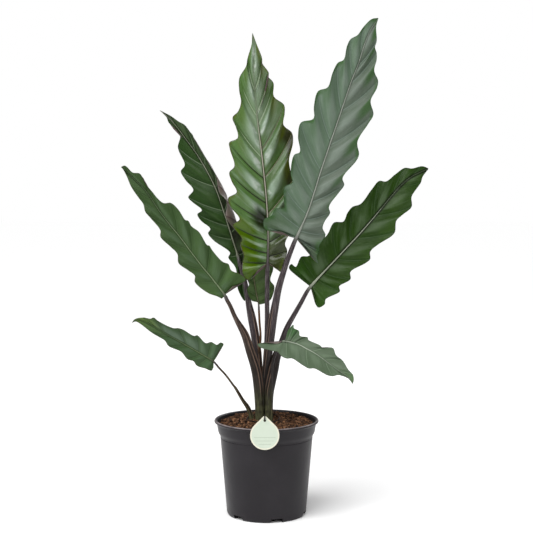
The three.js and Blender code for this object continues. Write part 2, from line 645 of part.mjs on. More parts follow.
function soilGeometry(stalks) {
  const taper = (POT.bodyTopRadius - POT.footRadius) / (POT.bodyTop - POT.footRound);
  const wallRadius = (z) => POT.footRadius - POT.wall + (z - POT.footRound) * taper - GAP;
  const collarRadius = POT.collarFootRadius - POT.wall - GAP;
  const bottom = POT.floor + GAP;
  const points = [new THREE.Vector3(0, 0, bottom)];
  const rims = [
    [wallRadius(bottom + 2), () => bottom],
    [wallRadius(POT.bodyTop), () => POT.bodyTop],
    [collarRadius, () => POT.collarFoot + 1],
  ];
  const edge = collarRadius + 1;
  for (let ring = SOIL.rings; ring > 0; ring--) {
    rims.push([(edge * ring) / SOIL.rings, soilHeight]);
  }
  for (const [radius, heightAt] of rims) {
    for (let side = 0; side < SOIL.sides; side++) {
      const angle = (2 * Math.PI * side) / SOIL.sides;
      const x = radius * Math.cos(angle);
      const y = radius * Math.sin(angle);
      points.push(new THREE.Vector3(x, y, heightAt(x, y)));
    }
  }
  points.push(new THREE.Vector3(0, 0, soilHeight(0, 0)));
  const top = points.length - 1;
  const at = (rim, side) => 1 + rim * SOIL.sides + (side % SOIL.sides);
  const triangles = [];
  for (let side = 0; side < SOIL.sides; side++) {
    triangles.push([0, at(0, side + 1), at(0, side)]);
    for (let rim = 0; rim < rims.length - 1; rim++) {
      triangles.push([at(rim, side), at(rim, side + 1), at(rim + 1, side + 1)]);
      triangles.push([at(rim, side), at(rim + 1, side + 1), at(rim + 1, side)]);
    }
    triangles.push([at(rims.length - 1, side), at(rims.length - 1, side + 1), top]);
  }
  let soil = solidOf(body(points, triangles));
  for (const stalk of stalks) {
    soil = soil.subtract(stalk);
  }
  return geometryOf(soil);
}

// The tag: a disc drawn out to a rounded point at the top, where the tie goes through it.
function tagGeometry() {
  const r = TAG.radius;
  const corner = Math.SQRT2 * (r - TAG.tipRound);
  const shape = new THREE.Shape();
  shape.absarc(0, 0, r, (3 * Math.PI) / 4, Math.PI / 4 + 2 * Math.PI, false);
  shape.absarc(0, corner, TAG.tipRound, Math.PI / 4, (3 * Math.PI) / 4, false);
  const hole = new THREE.Path();
  hole.absarc(0, TAG.holeRise, TAG.holeRadius, 0, 2 * Math.PI, true);
  shape.holes.push(hole);
  const tag = new THREE.ExtrudeGeometry(shape, { depth: TAG.thickness, bevelEnabled: false, curveSegments: 14 });
  tag.rotateX(Math.PI / 2);
  tag.translate(TAG.centre[0], -(POT.lipRadius + GAP), TAG.centre[1]);
  return geometryOf(solidOf(tag));
}

// The tie: from behind the crown round its left side, forward through the tag's hole, over the tag's point
// and back round the right side, its two ends just apart.
function tieGeometry() {
  const [cx, cy] = TIE.ringCentre;
  const onSoil = (x, y, rise) => new THREE.Vector3(x, y, soilHeight(x, y) + rise);
  const ringPoint = (degrees) => {
    const angle = THREE.MathUtils.degToRad(degrees);
    const x = cx + (TIE.ringWidth / 2) * Math.sin(angle);
    return onSoil(x, cy + (TIE.ringDepth / 2) * Math.cos(angle), TIE.rise);
  };
  const tagX = TAG.centre[0];
  const tagFront = -(POT.lipRadius + GAP + TAG.thickness);
  const holeHeight = TAG.centre[1] + TAG.holeRise;
  const tipHeight = TAG.centre[1] + Math.SQRT2 * (TAG.radius - TAG.tipRound) + TAG.tipRound;
  const points = [];
  for (let degrees = -3; degrees >= -153; degrees -= 25) {
    points.push(ringPoint(degrees));
  }
  points.push(
    onSoil(tagX - 4, TIE.runDepth, TIE.runRise),
    new THREE.Vector3(tagX - 1.2, TIE.rimDepth, POT.height + TIE.rimRise[0]),
    new THREE.Vector3(tagX, tagFront + TAG.thickness / 2, holeHeight),
    new THREE.Vector3(tagX, tagFront - TIE.loopFront, holeHeight + 3),
    new THREE.Vector3(tagX, tagFront - TIE.loopFront, tipHeight - 0.5),
    new THREE.Vector3(tagX, tagFront + 0.6, tipHeight + 1.8),
    new THREE.Vector3(tagX + 1.2, TIE.rimDepth, POT.height + TIE.rimRise[1]),
    onSoil(tagX + 3, TIE.runDepth, TIE.runRise),
  );
  for (let degrees = 153; degrees >= 3; degrees -= 25) {
    points.push(ringPoint(degrees));
  }
  const curve = new THREE.CatmullRomCurve3(points, false, "centripetal");
  return bar(curve, 0, 1, TIE.steps, TIE.sides, () => TIE.radius);
}

const plant = new THREE.Group();

function add(name, geometry, color, roughness) {
  const material = new THREE.MeshStandardMaterial({ color, roughness, metalness: 0 });
  const mesh = new THREE.Mesh(geometry, material);
  mesh.name = name;
  plant.add(mesh);
}

const lines = new Map(LEAVES.map((leaf) => [leaf.name, leafLine(leaf)]));
const grownStalk = (name) => solidOf(stalkGeometry(lines.get(name), GAP));

for (const leaf of LEAVES) {
  const line = lines.get(leaf.name);
  add(`stalk_${leaf.name}`, geometryOf(solidOf(stalkGeometry(line, 0))), leaf.stalkColour, 0.5);
  add(`blade_${leaf.name}`, bladeGeometry(leaf, line), leaf.blade, 0.45);
}

const planted = LEAVES.filter((leaf) => !leaf.seated).map((leaf) => grownStalk(leaf.name));
add("pot", potGeometry(), 0x2f3034, 0.5);
add("soil", soilGeometry(planted), 0x4a2c1e, 0.95);
add("tag", tagGeometry(), 0xe6efe0, 0.4);
add("tag_tie", tieGeometry(), 0x151515, 0.5);

export default plant;
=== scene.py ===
"""Potted Alocasia lauterbachiana: eight wavy-edged leaves on dark stalks, in a pot of soil with a tag.

Metres, +Z up, the origin at the centre of the pot's flat underside. -Y faces the viewer.
"""

import itertools
import math
import random

import bpy
import numpy as np
from bpy.props import FloatProperty, FloatVectorProperty, IntProperty, PointerProperty
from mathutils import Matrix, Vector, noise


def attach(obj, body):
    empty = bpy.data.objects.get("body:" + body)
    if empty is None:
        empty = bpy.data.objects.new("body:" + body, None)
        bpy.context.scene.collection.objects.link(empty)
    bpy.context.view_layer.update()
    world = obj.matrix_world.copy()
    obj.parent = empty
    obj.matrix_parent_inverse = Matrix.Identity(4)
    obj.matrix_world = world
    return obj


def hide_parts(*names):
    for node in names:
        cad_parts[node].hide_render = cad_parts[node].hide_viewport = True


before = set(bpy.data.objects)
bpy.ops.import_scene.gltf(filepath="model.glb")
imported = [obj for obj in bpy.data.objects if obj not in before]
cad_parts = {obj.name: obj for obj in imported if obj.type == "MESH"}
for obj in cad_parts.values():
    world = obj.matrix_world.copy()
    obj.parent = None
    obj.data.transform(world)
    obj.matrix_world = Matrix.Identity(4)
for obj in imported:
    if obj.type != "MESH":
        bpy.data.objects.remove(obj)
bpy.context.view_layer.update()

bl_info = {
    "name": "Potted Alocasia",
    "version": (1, 0, 0),
    "blender": (4, 5, 0),
    "location": "View3D > Sidebar > Alocasia",
    "description": "Builds a potted Alocasia lauterbachiana round its packed frame",
    "category": "Add Mesh",
}

# Leaf outlines and stalks are written in the upright plane through the pot's axis, as an eye in front of the
# plant sees them, and carried along the line of sight to their own depth.
EYE_DISTANCE = 2.19
EYE_HEIGHT = 0.609

# A vein leaves the midrib this share nearer the leaf's base than the tooth that it ends in, and bows forward.
VEIN_ADVANCE = 0.48
VEIN_BOW = 0.04
# Mesh columns stand closer at these vein numbers on both sides of each vein, and no other one is this near.
VEIN_COLUMNS = (-0.045, -0.02, 0.0, 0.02, 0.045)
COLUMN_GAP = 0.008
# Mesh rows stand closer towards the margin by this power.
ROW_POWER = 1.15
# Points along a midrib, and the share of its length that it is run on backwards past the base.
RIB_POINTS = 121
RIB_BACK = 0.6
# The vein number grows by this much from a margin's last point to the tip, and the mesh stops this far short.
TIP_VEINS = 0.6
TIP_CUT = 0.03

# The basal lobes have bent back in full at this share of the midrib's length below its base.
LOBE_BEND = 0.14
# Panels swell out in full where the half blade is at least this wide. Their swell is there from the midrib
# on at the first of these shares of the half's width, and is gone at the margin from the second one on.
PUFF_SPAN = 0.05
PUFF_SHARES = (0.34, 0.42)
# The waves and the swell die away over this share of the midrib's length before the tip.
TIP_CALM = 0.25
# A blade is this much thicker beside its midrib than out in its panels, and thins over this many millimetres.
RIB_THICKER = 0.5
PANEL_THICKNESS = 0.8
RIB_THICK_MM = 12
# Veins are sunk in full from this many millimetres inside the margin.
VEIN_FULL_MM = 8

# Depth that the stalks reach below the soil's surface at the crown.
BURIED = 0.036
# Radius of a midrib at the leaf's tip, and the least that it stands out of the blade's middle.
TIP_RIDGE = 0.0006
RIB_TOP = 0.00075
# Past the leaf's base a midrib's upper side is lower by this share of its radius. It ends short of the tip by
# this part of the last stretch of its line.
RIB_FLATTER = 0.6
RIB_CUT = 0.05
# Mesh stations along a stalk or a midrib, and points round each station.
STATIONS = 150
RIB_SIDES = 20
STALK_SIDES = 72
# Half the angle between the two edges of a sheath and half the width of an edge, in radians, and the share of
# the stalk's radius that the groove between them takes.
SHEATH_HALF = 0.52
SHEATH_EDGE = 0.13
GROOVE_SHARE = 0.28

# The pot stands on a ring: the middle of its underside is raised by this much, under a floor this thick.
BASE_RISE = 0.0062
FLOOR_THICKNESS = 0.0026
# The rolled lip's real edge is this much slimmer than the plain solid's.
LIP_SLIM = 0.0012
# How much wider the pot's body is at its top than at its foot, and the collar above it than the body.
POT_FLARE = 0.0118
COLLAR_FLARE = 0.0034
# Below the top of the lip: the groove's middle, the foot and the head of the step, and the lip's underside.
GROOVE_DROP = 0.0317
STEP_FOOT_DROP = 0.0285
STEP_HEAD_DROP = 0.0225
LIP_DROP = 0.0085
GROOVE_DEPTH = 0.0009
POT_SIDES = 160
# Drain notches round the pot's foot, and the radii between which they are cut.
NOTCHES = 6
NOTCH_FIRST = math.radians(15)
NOTCH_WIDTH = 0.021
NOTCH_HEIGHT = 0.0072
NOTCH_RADII = (0.057, 0.076)
NOTCH_BELOW = 0.002

# The soil's surface: its height at the pot's wall and at the top of its mound, and where the mound stands.
SOIL_EDGE = 0.162
SOIL_MOUND = 0.173
MOUND_CENTRE = (0.0, 0.03)
MOUND_RADIUS = 0.095
SOIL_RADIUS = 0.0858
SOIL_SIDES = 200
SOIL_RINGS = 46
# The soil's side, hidden in the pot, as (radius, height).
SOIL_SIDE = ((0.0686, 0.009), (0.0812, 0.143), (0.0838, 0.15))
# Height of the soil's lumps, and of the roughness on them.
LUMP_HEIGHT = 0.0016
SOIL_ROUGHNESS = 0.0016
# Corners of a crumb's shape that are nearer than this, at a radius of 1, are joined by an edge.
EDGE_REACH = 1.2
# Loose crumbs: the share that are large, and the least and greatest size of the large and the small ones.
LARGE_SHARE = 0.2
LARGE_SIZES = (0.0013, 0.0031)
SMALL_SIZES = (0.0005, 0.0015)
FIBRE_LENGTHS = (0.005, 0.014)
FIBRE_RADII = (0.00018, 0.0004)

# The tag: the radius of its round part and its centre as (x, z), its pointed tip, its hole and its card.
TAG_RADIUS = 0.0252
TAG_CENTRE = (-0.003, 0.1615)
TAG_TIP_ROUND = 0.0035
TAG_HOLE_RISE = 0.026
TAG_HOLE_RADIUS = 0.0022
TAG_BACK = -0.09535
TAG_THICKNESS = 0.0008
TAG_ROUNDING = 0.00015
# The blank ruled lines: heights from the tag's centre, half width, and how far they end inside the border.
RULED_HEIGHTS = (-0.0035, -0.0095, -0.0155)
RULED_HALF = 0.00024
RULED_INSET = 0.0039
# The tie: its radius, the (width, depth) and centre of its ring, and how high it lies on the soil.
TIE_RADIUS = 0.0011
TIE_RING = (0.059, 0.053)
TIE_CENTRE = (-0.006, 0.005)
TIE_RISE = 0.0023

# Each leaf: its stalk from the soil to the neck as (x, z, depth, radius), its midrib from base to tip as
# (x, z, depth), and both margins from the basal lobe to the tip as (x, z, vein). vein is whole at a tooth's
# tip, and the notch that follows it is about a third on. Negative veins are in the basal lobe.
# turn is the depth gained per metre to the right of the midrib, fold the depth gained on both sides, wave
# the height of the margin's waves, and lobe_back how far the basal lobes bend back. curl rolls the right half
# towards the viewer, on the radii listed from the midrib's base to its tip. A seated stalk starts in the
# sheath of another stalk, not in the soil.
LEAVES = (
    {
        "name": "centre",
        "stalk": (
            (-0.0036, 0.172, 0.0233, 0.0045), (-0.0033, 0.24, 0.0226, 0.0047),
            (-0.0015, 0.282, 0.0198, 0.0047), (0.0, 0.304, 0.018, 0.0046), (0.001, 0.346, 0.0145, 0.0043),
            (0.0011, 0.393, 0.011, 0.0042), (0.0015, 0.44, 0.01, 0.0038),
        ),
        "rib": (
            (0.002, 0.452, 0.01), (0.003, 0.501, 0.012), (0.0, 0.564, 0.017), (-0.009, 0.65, 0.03),
            (-0.016, 0.706, 0.039), (-0.021, 0.766, 0.049), (-0.023, 0.8, 0.055), (-0.021, 0.83, 0.06),
            (-0.025, 0.86, 0.067),
        ),
        "rib_radius": 0.0034,
        "turn": 0.1,
        "fold": -0.12,
        "wave": 0.0045,
        "left": (
            (-0.012, 0.448, -1.3), (-0.026, 0.426, -1.1), (-0.033, 0.422, -1), (-0.042, 0.431, -0.7),
            (-0.043, 0.455, 0), (-0.041, 0.466, 0.3), (-0.047, 0.487, 1), (-0.044, 0.496, 1.3),
            (-0.06, 0.521, 2), (-0.048, 0.531, 2.3), (-0.065, 0.555, 2.8), (-0.068, 0.569, 3),
            (-0.053, 0.579, 3.3), (-0.062, 0.599, 3.7), (-0.066, 0.614, 4), (-0.057, 0.625, 4.3),
            (-0.065, 0.656, 4.8), (-0.066, 0.667, 5), (-0.051, 0.675, 5.3), (-0.054, 0.694, 5.6),
            (-0.06, 0.711, 6), (-0.05, 0.722, 6.3), (-0.045, 0.739, 6.5), (-0.048, 0.758, 6.8),
            (-0.048, 0.78, 7), (-0.036, 0.801, 7.4), (-0.033, 0.816, 8), (-0.026, 0.84, 8.4),
        ),
        "right": (
            (0.015, 0.45, -1.2), (0.025, 0.437, -1), (0.031, 0.453, -0.6), (0.037, 0.475, 0),
            (0.033, 0.487, 0.3), (0.046, 0.52, 1), (0.037, 0.532, 1.3), (0.05, 0.566, 2),
            (0.043, 0.578, 2.3), (0.046, 0.6, 3), (0.04, 0.634, 3.4), (0.047, 0.668, 3.8),
            (0.045, 0.684, 4), (0.03, 0.698, 4.3), (0.032, 0.718, 4.6), (0.031, 0.733, 5),
            (0.013, 0.748, 5.3), (0.012, 0.772, 6), (0.002, 0.784, 6.3), (0.004, 0.789, 7),
            (-0.008, 0.807, 7.3), (-0.008, 0.815, 8), (-0.016, 0.836, 8.4),
        ),
    },
    {
        "name": "upper_right",
        "stalk": (
            (-0.0015, 0.172, 0.0125, 0.0054), (-0.0013, 0.217, 0.0125, 0.0059),
            (0.0004, 0.26, 0.01, 0.0064), (0.0032, 0.284, 0.0065, 0.0067), (0.008, 0.32, 0.0, 0.0069),
            (0.012, 0.352, -0.006, 0.0069), (0.017, 0.383, -0.013, 0.0064), (0.021, 0.405, -0.018, 0.0061),
            (0.031, 0.439, -0.024, 0.005), (0.04, 0.465, -0.027, 0.0043), (0.048, 0.486, -0.029, 0.004),
        ),
        "rib": (
            (0.053, 0.498, -0.03), (0.073, 0.543, -0.028), (0.097, 0.618, -0.016), (0.113, 0.666, -0.004),
            (0.131, 0.719, 0.012), (0.15, 0.775, 0.032), (0.162, 0.805, 0.044), (0.173, 0.84, 0.058),
            (0.182, 0.862, 0.068), (0.197, 0.885, 0.08),
        ),
        "rib_radius": 0.0035,
        "turn": 0.15,
        "fold": -0.15,
        "wave": 0.005,
        "left": (
            (0.042, 0.501, -1.5), (0.026, 0.509, -1.3), (0.001, 0.511, -1.1), (-0.005, 0.518, -1),
            (-0.004, 0.531, -0.6), (0.008, 0.537, -0.3), (0.016, 0.55, 0), (0.031, 0.551, 0.3),
            (0.031, 0.567, 0.6), (0.032, 0.588, 1), (0.046, 0.597, 1.3), (0.043, 0.612, 1.5),
            (0.049, 0.645, 2), (0.059, 0.65, 2.3), (0.056, 0.678, 2.7), (0.061, 0.702, 3),
            (0.083, 0.709, 3.4), (0.084, 0.731, 3.6), (0.091, 0.757, 4), (0.108, 0.764, 4.4),
            (0.117, 0.79, 4.7), (0.126, 0.807, 5), (0.136, 0.812, 5.3), (0.142, 0.836, 5.7),
            (0.148, 0.848, 6), (0.16, 0.855, 6.4), (0.172, 0.871, 7), (0.185, 0.883, 7.5),
        ),
        "right": (
            (0.058, 0.493, -1.6), (0.079, 0.467, -1.2), (0.092, 0.452, -1), (0.09, 0.465, -0.7),
            (0.094, 0.474, 0), (0.094, 0.483, 0.3), (0.105, 0.503, 1), (0.1, 0.515, 1.3),
            (0.104, 0.528, 1.6), (0.113, 0.542, 2), (0.111, 0.553, 2.3), (0.129, 0.579, 2.7),
            (0.138, 0.592, 3), (0.135, 0.604, 3.3), (0.16, 0.636, 3.8), (0.164, 0.646, 4),
            (0.161, 0.668, 4.3), (0.18, 0.7, 4.7), (0.189, 0.716, 5), (0.184, 0.74, 5.4),
            (0.195, 0.763, 5.8), (0.197, 0.775, 6), (0.19, 0.793, 6.3), (0.194, 0.812, 6.7),
            (0.194, 0.824, 7), (0.191, 0.834, 7.3), (0.194, 0.845, 8), (0.193, 0.87, 8.5),
        ),
    },
    {
        "name": "right",
        "stalk": (
            (0.0045, 0.172, -0.002, 0.0068), (0.0055, 0.217, -0.002, 0.0075), (0.0093, 0.238, 0.0, 0.0077),
            (0.014, 0.26, 0.003, 0.0076), (0.0183, 0.282, 0.007, 0.0071), (0.027, 0.309, 0.012, 0.0059),
            (0.0365, 0.336, 0.016, 0.005), (0.05, 0.361, 0.0185, 0.0043), (0.062, 0.382, 0.0195, 0.0039),
            (0.071, 0.399, 0.02, 0.0036),
        ),
        "rib": (
            (0.0795, 0.4115, 0.021), (0.126, 0.462, 0.033), (0.173, 0.513, 0.052), (0.205, 0.551, 0.068),
            (0.223, 0.573, 0.078), (0.251, 0.602, 0.094), (0.288, 0.621, 0.116),
        ),
        "rib_radius": 0.0031,
        "turn": -0.25,
        "fold": -0.12,
        "wave": 0.004,
        "left": (
            (0.058, 0.427, -1.3), (0.04, 0.444, -1), (0.044, 0.451, -0.8), (0.052, 0.446, -0.5),
            (0.062, 0.464, 0), (0.076, 0.466, 0.3), (0.095, 0.491, 0.7), (0.108, 0.503, 0.85),
            (0.12, 0.525, 1), (0.137, 0.527, 1.3), (0.144, 0.542, 1.6), (0.153, 0.553, 2),
            (0.167, 0.558, 2.3), (0.187, 0.584, 2.7), (0.2, 0.599, 3), (0.212, 0.598, 3.3),
            (0.229, 0.611, 3.7), (0.245, 0.622, 4), (0.258, 0.621, 4.4), (0.276, 0.625, 5),
        ),
        "right": (
            (0.0845, 0.395, -1.4), (0.087, 0.381, -1.2), (0.093, 0.373, -1), (0.104, 0.379, -0.6),
            (0.106, 0.388, -0.3), (0.131, 0.402, 0), (0.13, 0.411, 0.3), (0.15, 0.424, 1),
            (0.15, 0.437, 1.3), (0.177, 0.453, 1.8), (0.185, 0.46, 2), (0.185, 0.473, 2.3),
            (0.199, 0.486, 2.6), (0.224, 0.502, 2.9), (0.229, 0.509, 3), (0.231, 0.528, 3.4),
            (0.242, 0.539, 3.6), (0.258, 0.553, 4), (0.258, 0.571, 4.4), (0.274, 0.596, 5),
            (0.277, 0.606, 5.4),
        ),
    },
    {
        "name": "upper_left",
        "stalk": (
            (-0.014, 0.172, 0.018, 0.0055), (-0.015, 0.24, 0.02, 0.0058), (-0.0185, 0.296, 0.028, 0.006),
            (-0.024, 0.333, 0.036, 0.0061), (-0.0285, 0.357, 0.043, 0.0058), (-0.034, 0.392, 0.053, 0.005),
            (-0.0376, 0.415, 0.058, 0.0044), (-0.0435, 0.438, 0.058, 0.004), (-0.048, 0.453, 0.061, 0.0037),
        ),
        "rib": (
            (-0.051, 0.465, 0.066), (-0.06, 0.494, 0.068), (-0.075, 0.541, 0.075), (-0.091, 0.587, 0.088),
            (-0.117, 0.636, 0.108), (-0.137, 0.665, 0.121), (-0.168, 0.705, 0.139), (-0.189, 0.724, 0.15),
        ),
        "rib_radius": 0.0031,
        "turn": -0.1,
        "fold": -0.1,
        "wave": 0.004,
        "lobe_back": 0.014,
        "left": (
            (-0.045, 0.43, -1.5), (-0.037, 0.4, -1.2), (-0.039, 0.385, -1), (-0.051, 0.406, -0.6),
            (-0.055, 0.444, -0.3), (-0.068, 0.463, 0), (-0.065, 0.471, 0.3), (-0.095, 0.494, 0.8),
            (-0.104, 0.506, 1), (-0.1, 0.514, 1.3), (-0.117, 0.529, 1.7), (-0.123, 0.54, 2),
            (-0.115, 0.547, 2.3), (-0.132, 0.562, 2.8), (-0.139, 0.57, 3), (-0.13, 0.583, 3.3),
            (-0.144, 0.601, 3.7), (-0.152, 0.616, 4), (-0.145, 0.627, 4.3), (-0.157, 0.658, 5),
            (-0.153, 0.679, 5.4), (-0.167, 0.697, 5.8), (-0.173, 0.702, 6), (-0.177, 0.712, 6.4),
        ),
        "right": (
            (-0.036, 0.433, -1.5), (-0.026, 0.404, -1.2), (-0.016, 0.392, -1), (-0.018, 0.416, -0.6),
            (-0.036, 0.45, -0.3), (-0.036, 0.473, 0), (-0.033, 0.487, 0.3), (-0.025, 0.526, 0.8),
            (-0.025, 0.552, 1), (-0.042, 0.562, 1.2), (-0.052, 0.571, 1.3), (-0.051, 0.589, 1.8),
            (-0.06, 0.602, 2), (-0.074, 0.611, 2.2), (-0.084, 0.618, 2.4), (-0.088, 0.628, 2.7),
            (-0.098, 0.641, 3), (-0.11, 0.656, 3.35), (-0.115, 0.672, 3.8), (-0.119, 0.682, 4),
            (-0.132, 0.687, 4.35), (-0.144, 0.699, 5), (-0.155, 0.704, 5.4), (-0.17, 0.714, 5.8),
        ),
        "curl": (0.022, 0.018, 0.016, 0.0165, 0.0135, 0.013, 0.011, 0.01, 0.01, 0.013, 0.018, 0.02, 0.02),
    },
    {
        "name": "left",
        "stalk": (
            (-0.0118, 0.172, 0.0, 0.0085), (-0.0145, 0.217, -0.002, 0.0078),
            (-0.0203, 0.26, -0.005, 0.0074), (-0.031, 0.295, -0.008, 0.0064),
            (-0.0395, 0.322, -0.012, 0.0056), (-0.055, 0.353, -0.017, 0.0039),
            (-0.066, 0.378, -0.019, 0.0035), (-0.071, 0.387, -0.0195, 0.0034),
        ),
        "rib": (
            (-0.074, 0.394, -0.02), (-0.094, 0.421, -0.027), (-0.12, 0.453, -0.036), (-0.155, 0.5, -0.05),
            (-0.186, 0.539, -0.064), (-0.215, 0.582, -0.079), (-0.231, 0.598, -0.088),
            (-0.258, 0.624, -0.104),
        ),
        "rib_radius": 0.0031,
        "turn": 0.35,
        "fold": -0.12,
        "wave": 0.004,
        "left": (
            (-0.08, 0.389, -1), (-0.088, 0.393, -0.6), (-0.106, 0.4, -0.2), (-0.128, 0.419, 0),
            (-0.128, 0.43, 0.3), (-0.14, 0.44, 0.6), (-0.157, 0.453, 1), (-0.159, 0.469, 1.3),
            (-0.171, 0.482, 1.6), (-0.189, 0.5, 2), (-0.189, 0.511, 2.3), (-0.206, 0.533, 2.7),
            (-0.216, 0.545, 3), (-0.219, 0.558, 3.3), (-0.227, 0.569, 3.6), (-0.241, 0.59, 4),
            (-0.248, 0.607, 4.4), (-0.254, 0.619, 4.8),
        ),
        "right": (
            (-0.061, 0.411, -1.4), (-0.049, 0.415, -1.2), (-0.037, 0.423, -1), (-0.045, 0.432, -0.8),
            (-0.063, 0.44, -0.3), (-0.068, 0.451, 0), (-0.078, 0.455, 0.3), (-0.097, 0.476, 0.8),
            (-0.102, 0.484, 1), (-0.106, 0.485, 1.2), (-0.12, 0.508, 1.6), (-0.134, 0.519, 1.9),
            (-0.139, 0.528, 2), (-0.145, 0.53, 2.2), (-0.156, 0.547, 2.6), (-0.17, 0.56, 3),
            (-0.184, 0.56, 3.3), (-0.206, 0.583, 3.6), (-0.215, 0.594, 3.8), (-0.225, 0.612, 4),
            (-0.238, 0.614, 4.3), (-0.251, 0.626, 5),
        ),
    },
    {
        "name": "low_left",
        "stalk": (
            (-0.027, 0.172, 0.003, 0.0044), (-0.033, 0.191, 0.001, 0.0041), (-0.043, 0.206, -0.005, 0.0031),
            (-0.056, 0.228, -0.015, 0.0024), (-0.0595, 0.2325, -0.017, 0.0019),
            (-0.074, 0.252, -0.029, 0.0018), (-0.086, 0.265, -0.037, 0.0018), (-0.09, 0.27, -0.041, 0.0018),
        ),
        "rib": (
            (-0.095, 0.2755, -0.044), (-0.122, 0.292, -0.055), (-0.146, 0.306, -0.067),
            (-0.176, 0.323, -0.084), (-0.212, 0.344, -0.107), (-0.23, 0.351, -0.122),
            (-0.241, 0.346, -0.136),
        ),
        "rib_radius": 0.0017,
        "turn": 0.45,
        "fold": -0.12,
        "wave": 0.0022,
        "left": (
            (-0.095, 0.265, -1.2), (-0.099, 0.259, -1), (-0.11, 0.263, -0.4), (-0.125, 0.268, 0),
            (-0.131, 0.276, 0.3), (-0.142, 0.28, 1), (-0.153, 0.293, 1.3), (-0.176, 0.304, 2),
            (-0.182, 0.313, 2.3), (-0.206, 0.328, 3), (-0.234, 0.348, 3.5),
        ),
        "right": (
            (-0.086, 0.293, -1.2), (-0.077, 0.307, -1), (-0.082, 0.31, -0.8), (-0.089, 0.306, -0.5),
            (-0.099, 0.311, 0), (-0.109, 0.309, 0.3), (-0.124, 0.323, 1), (-0.13, 0.322, 1.2),
            (-0.149, 0.333, 1.8), (-0.158, 0.336, 2), (-0.167, 0.336, 2.3), (-0.196, 0.35, 2.8),
            (-0.202, 0.355, 3), (-0.208, 0.353, 3.3), (-0.221, 0.355, 4), (-0.236, 0.352, 4.5),
        ),
    },
    {
        "name": "low_right",
        "stalk": (
            (0.0095, 0.172, -0.0118, 0.0022), (0.0095, 0.23, -0.0138, 0.0021),
            (0.011, 0.27, -0.018, 0.0021), (0.018, 0.294, -0.034, 0.0022), (0.025, 0.306, -0.045, 0.0023),
        ),
        "rib": (
            (0.03, 0.312, -0.05), (0.055, 0.307, -0.06), (0.073, 0.298, -0.071), (0.092, 0.287, -0.085),
            (0.112, 0.272, -0.102), (0.131, 0.258, -0.118), (0.147, 0.247, -0.131), (0.155, 0.235, -0.142),
        ),
        "rib_radius": 0.0021,
        "turn": -0.5,
        "fold": -0.12,
        "wave": 0.0025,
        "left": (
            (0.039, 0.333, -1.3), (0.048, 0.342, -1), (0.049, 0.336, -0.7), (0.058, 0.331, 0),
            (0.06, 0.322, 0.3), (0.074, 0.319, 1), (0.075, 0.315, 1.2), (0.096, 0.305, 1.6),
            (0.1, 0.301, 1.7), (0.119, 0.3, 2), (0.125, 0.287, 2.3), (0.137, 0.277, 3), (0.147, 0.261, 3.5),
            (0.155, 0.252, 4), (0.157, 0.243, 4.5),
        ),
        "right": (
            (0.021, 0.3075, -1.6), (-0.004, 0.309, -1.2), (-0.016, 0.307, -1), (-0.013, 0.302, -0.9),
            (0.01, 0.295, -0.5), (0.02, 0.293, -0.3), (0.027, 0.285, -0.1), (0.036, 0.281, 0),
            (0.046, 0.281, 0.3), (0.065, 0.269, 0.8), (0.076, 0.263, 1), (0.086, 0.263, 1.3),
            (0.109, 0.251, 1.8), (0.119, 0.249, 2), (0.129, 0.251, 2.3), (0.147, 0.245, 3),
        ),
    },
    {
        "name": "inner",
        "stalk": (
            (-0.0141, 0.29, 0.02, 0.002), (-0.0106, 0.318, 0.024, 0.002), (-0.0125, 0.347, 0.031, 0.002),
            (-0.0135, 0.368, 0.036, 0.0019),
        ),
        "seated": True,
        "rib": (
            (-0.014, 0.378, 0.038), (-0.019, 0.403, 0.042), (-0.023, 0.43, 0.046), (-0.026, 0.47, 0.05),
            (-0.027, 0.52, 0.054), (-0.025, 0.572, 0.058),
        ),
        "rib_radius": 0.0016,
        "turn": 0,
        "fold": -0.1,
        "wave": 0.0025,
        "left": (
            (-0.022, 0.384, -1), (-0.027, 0.386, -0.8), (-0.035, 0.405, 0), (-0.031, 0.415, 0.3),
            (-0.036, 0.44, 1), (-0.033, 0.45, 1.3), (-0.038, 0.478, 2), (-0.035, 0.487, 2.3),
            (-0.041, 0.515, 3), (-0.037, 0.524, 3.3), (-0.036, 0.548, 4), (-0.031, 0.556, 4.3),
        ),
        "right": (
            (0.0, 0.381, -1.2), (0.008, 0.388, -1), (0.014, 0.411, 0), (0.007, 0.422, 0.3),
            (0.012, 0.445, 1), (0.006, 0.454, 1.3), (0.006, 0.48, 2), (-0.001, 0.49, 2.3),
            (-0.003, 0.515, 3), (-0.009, 0.524, 3.3), (-0.013, 0.548, 4), (-0.018, 0.556, 4.3),
        ),
    },
)

# Looks of each leaf: the finish of its upper face, how much of the midrib's width stands out of the blade,
# how far the panels between its veins swell out, and its stalk's clasping sheath: the side that it opens to
# in degrees from +X, the heights between which its edges stand out, and how far they do.
LOOKS = {
    "centre": {"finish": "young", "rib_show": 0.5, "puff": 0.0046, "sheath": (-60, 0.20, 0.27, 0.0006)},
    "upper_right": {"finish": "grey", "rib_show": 0.42, "puff": 0.0026, "sheath": (208, 0.25, 0.40, 0.0012)},
    "right": {"finish": "dark", "rib_show": 0.42, "puff": 0.003, "sheath": (208, 0.22, 0.315, 0.0022)},
    "upper_left": {"finish": "deep", "rib_show": 0.45, "puff": 0.0026, "sheath": (-28, 0.24, 0.39, 0.0034)},
    "left": {"finish": "mid", "rib_show": 0.4, "puff": 0.0022, "sheath": (-28, 0.22, 0.365, 0.003)},
    "low_left": {"finish": "soft", "rib_show": 0.6, "puff": 0.0014, "sheath": (-60, 0.18, 0.232, 0.001)},
    "low_right": {"finish": "pale", "rib_show": 0.65, "puff": 0.0014, "sheath": (-60, 0.18, 0.20, 0.0004)},
    "inner": {"finish": "shade", "rib_show": 0.7, "puff": 0.0014, "sheath": (-60, 0.1, 0.12, 0.0)},
}


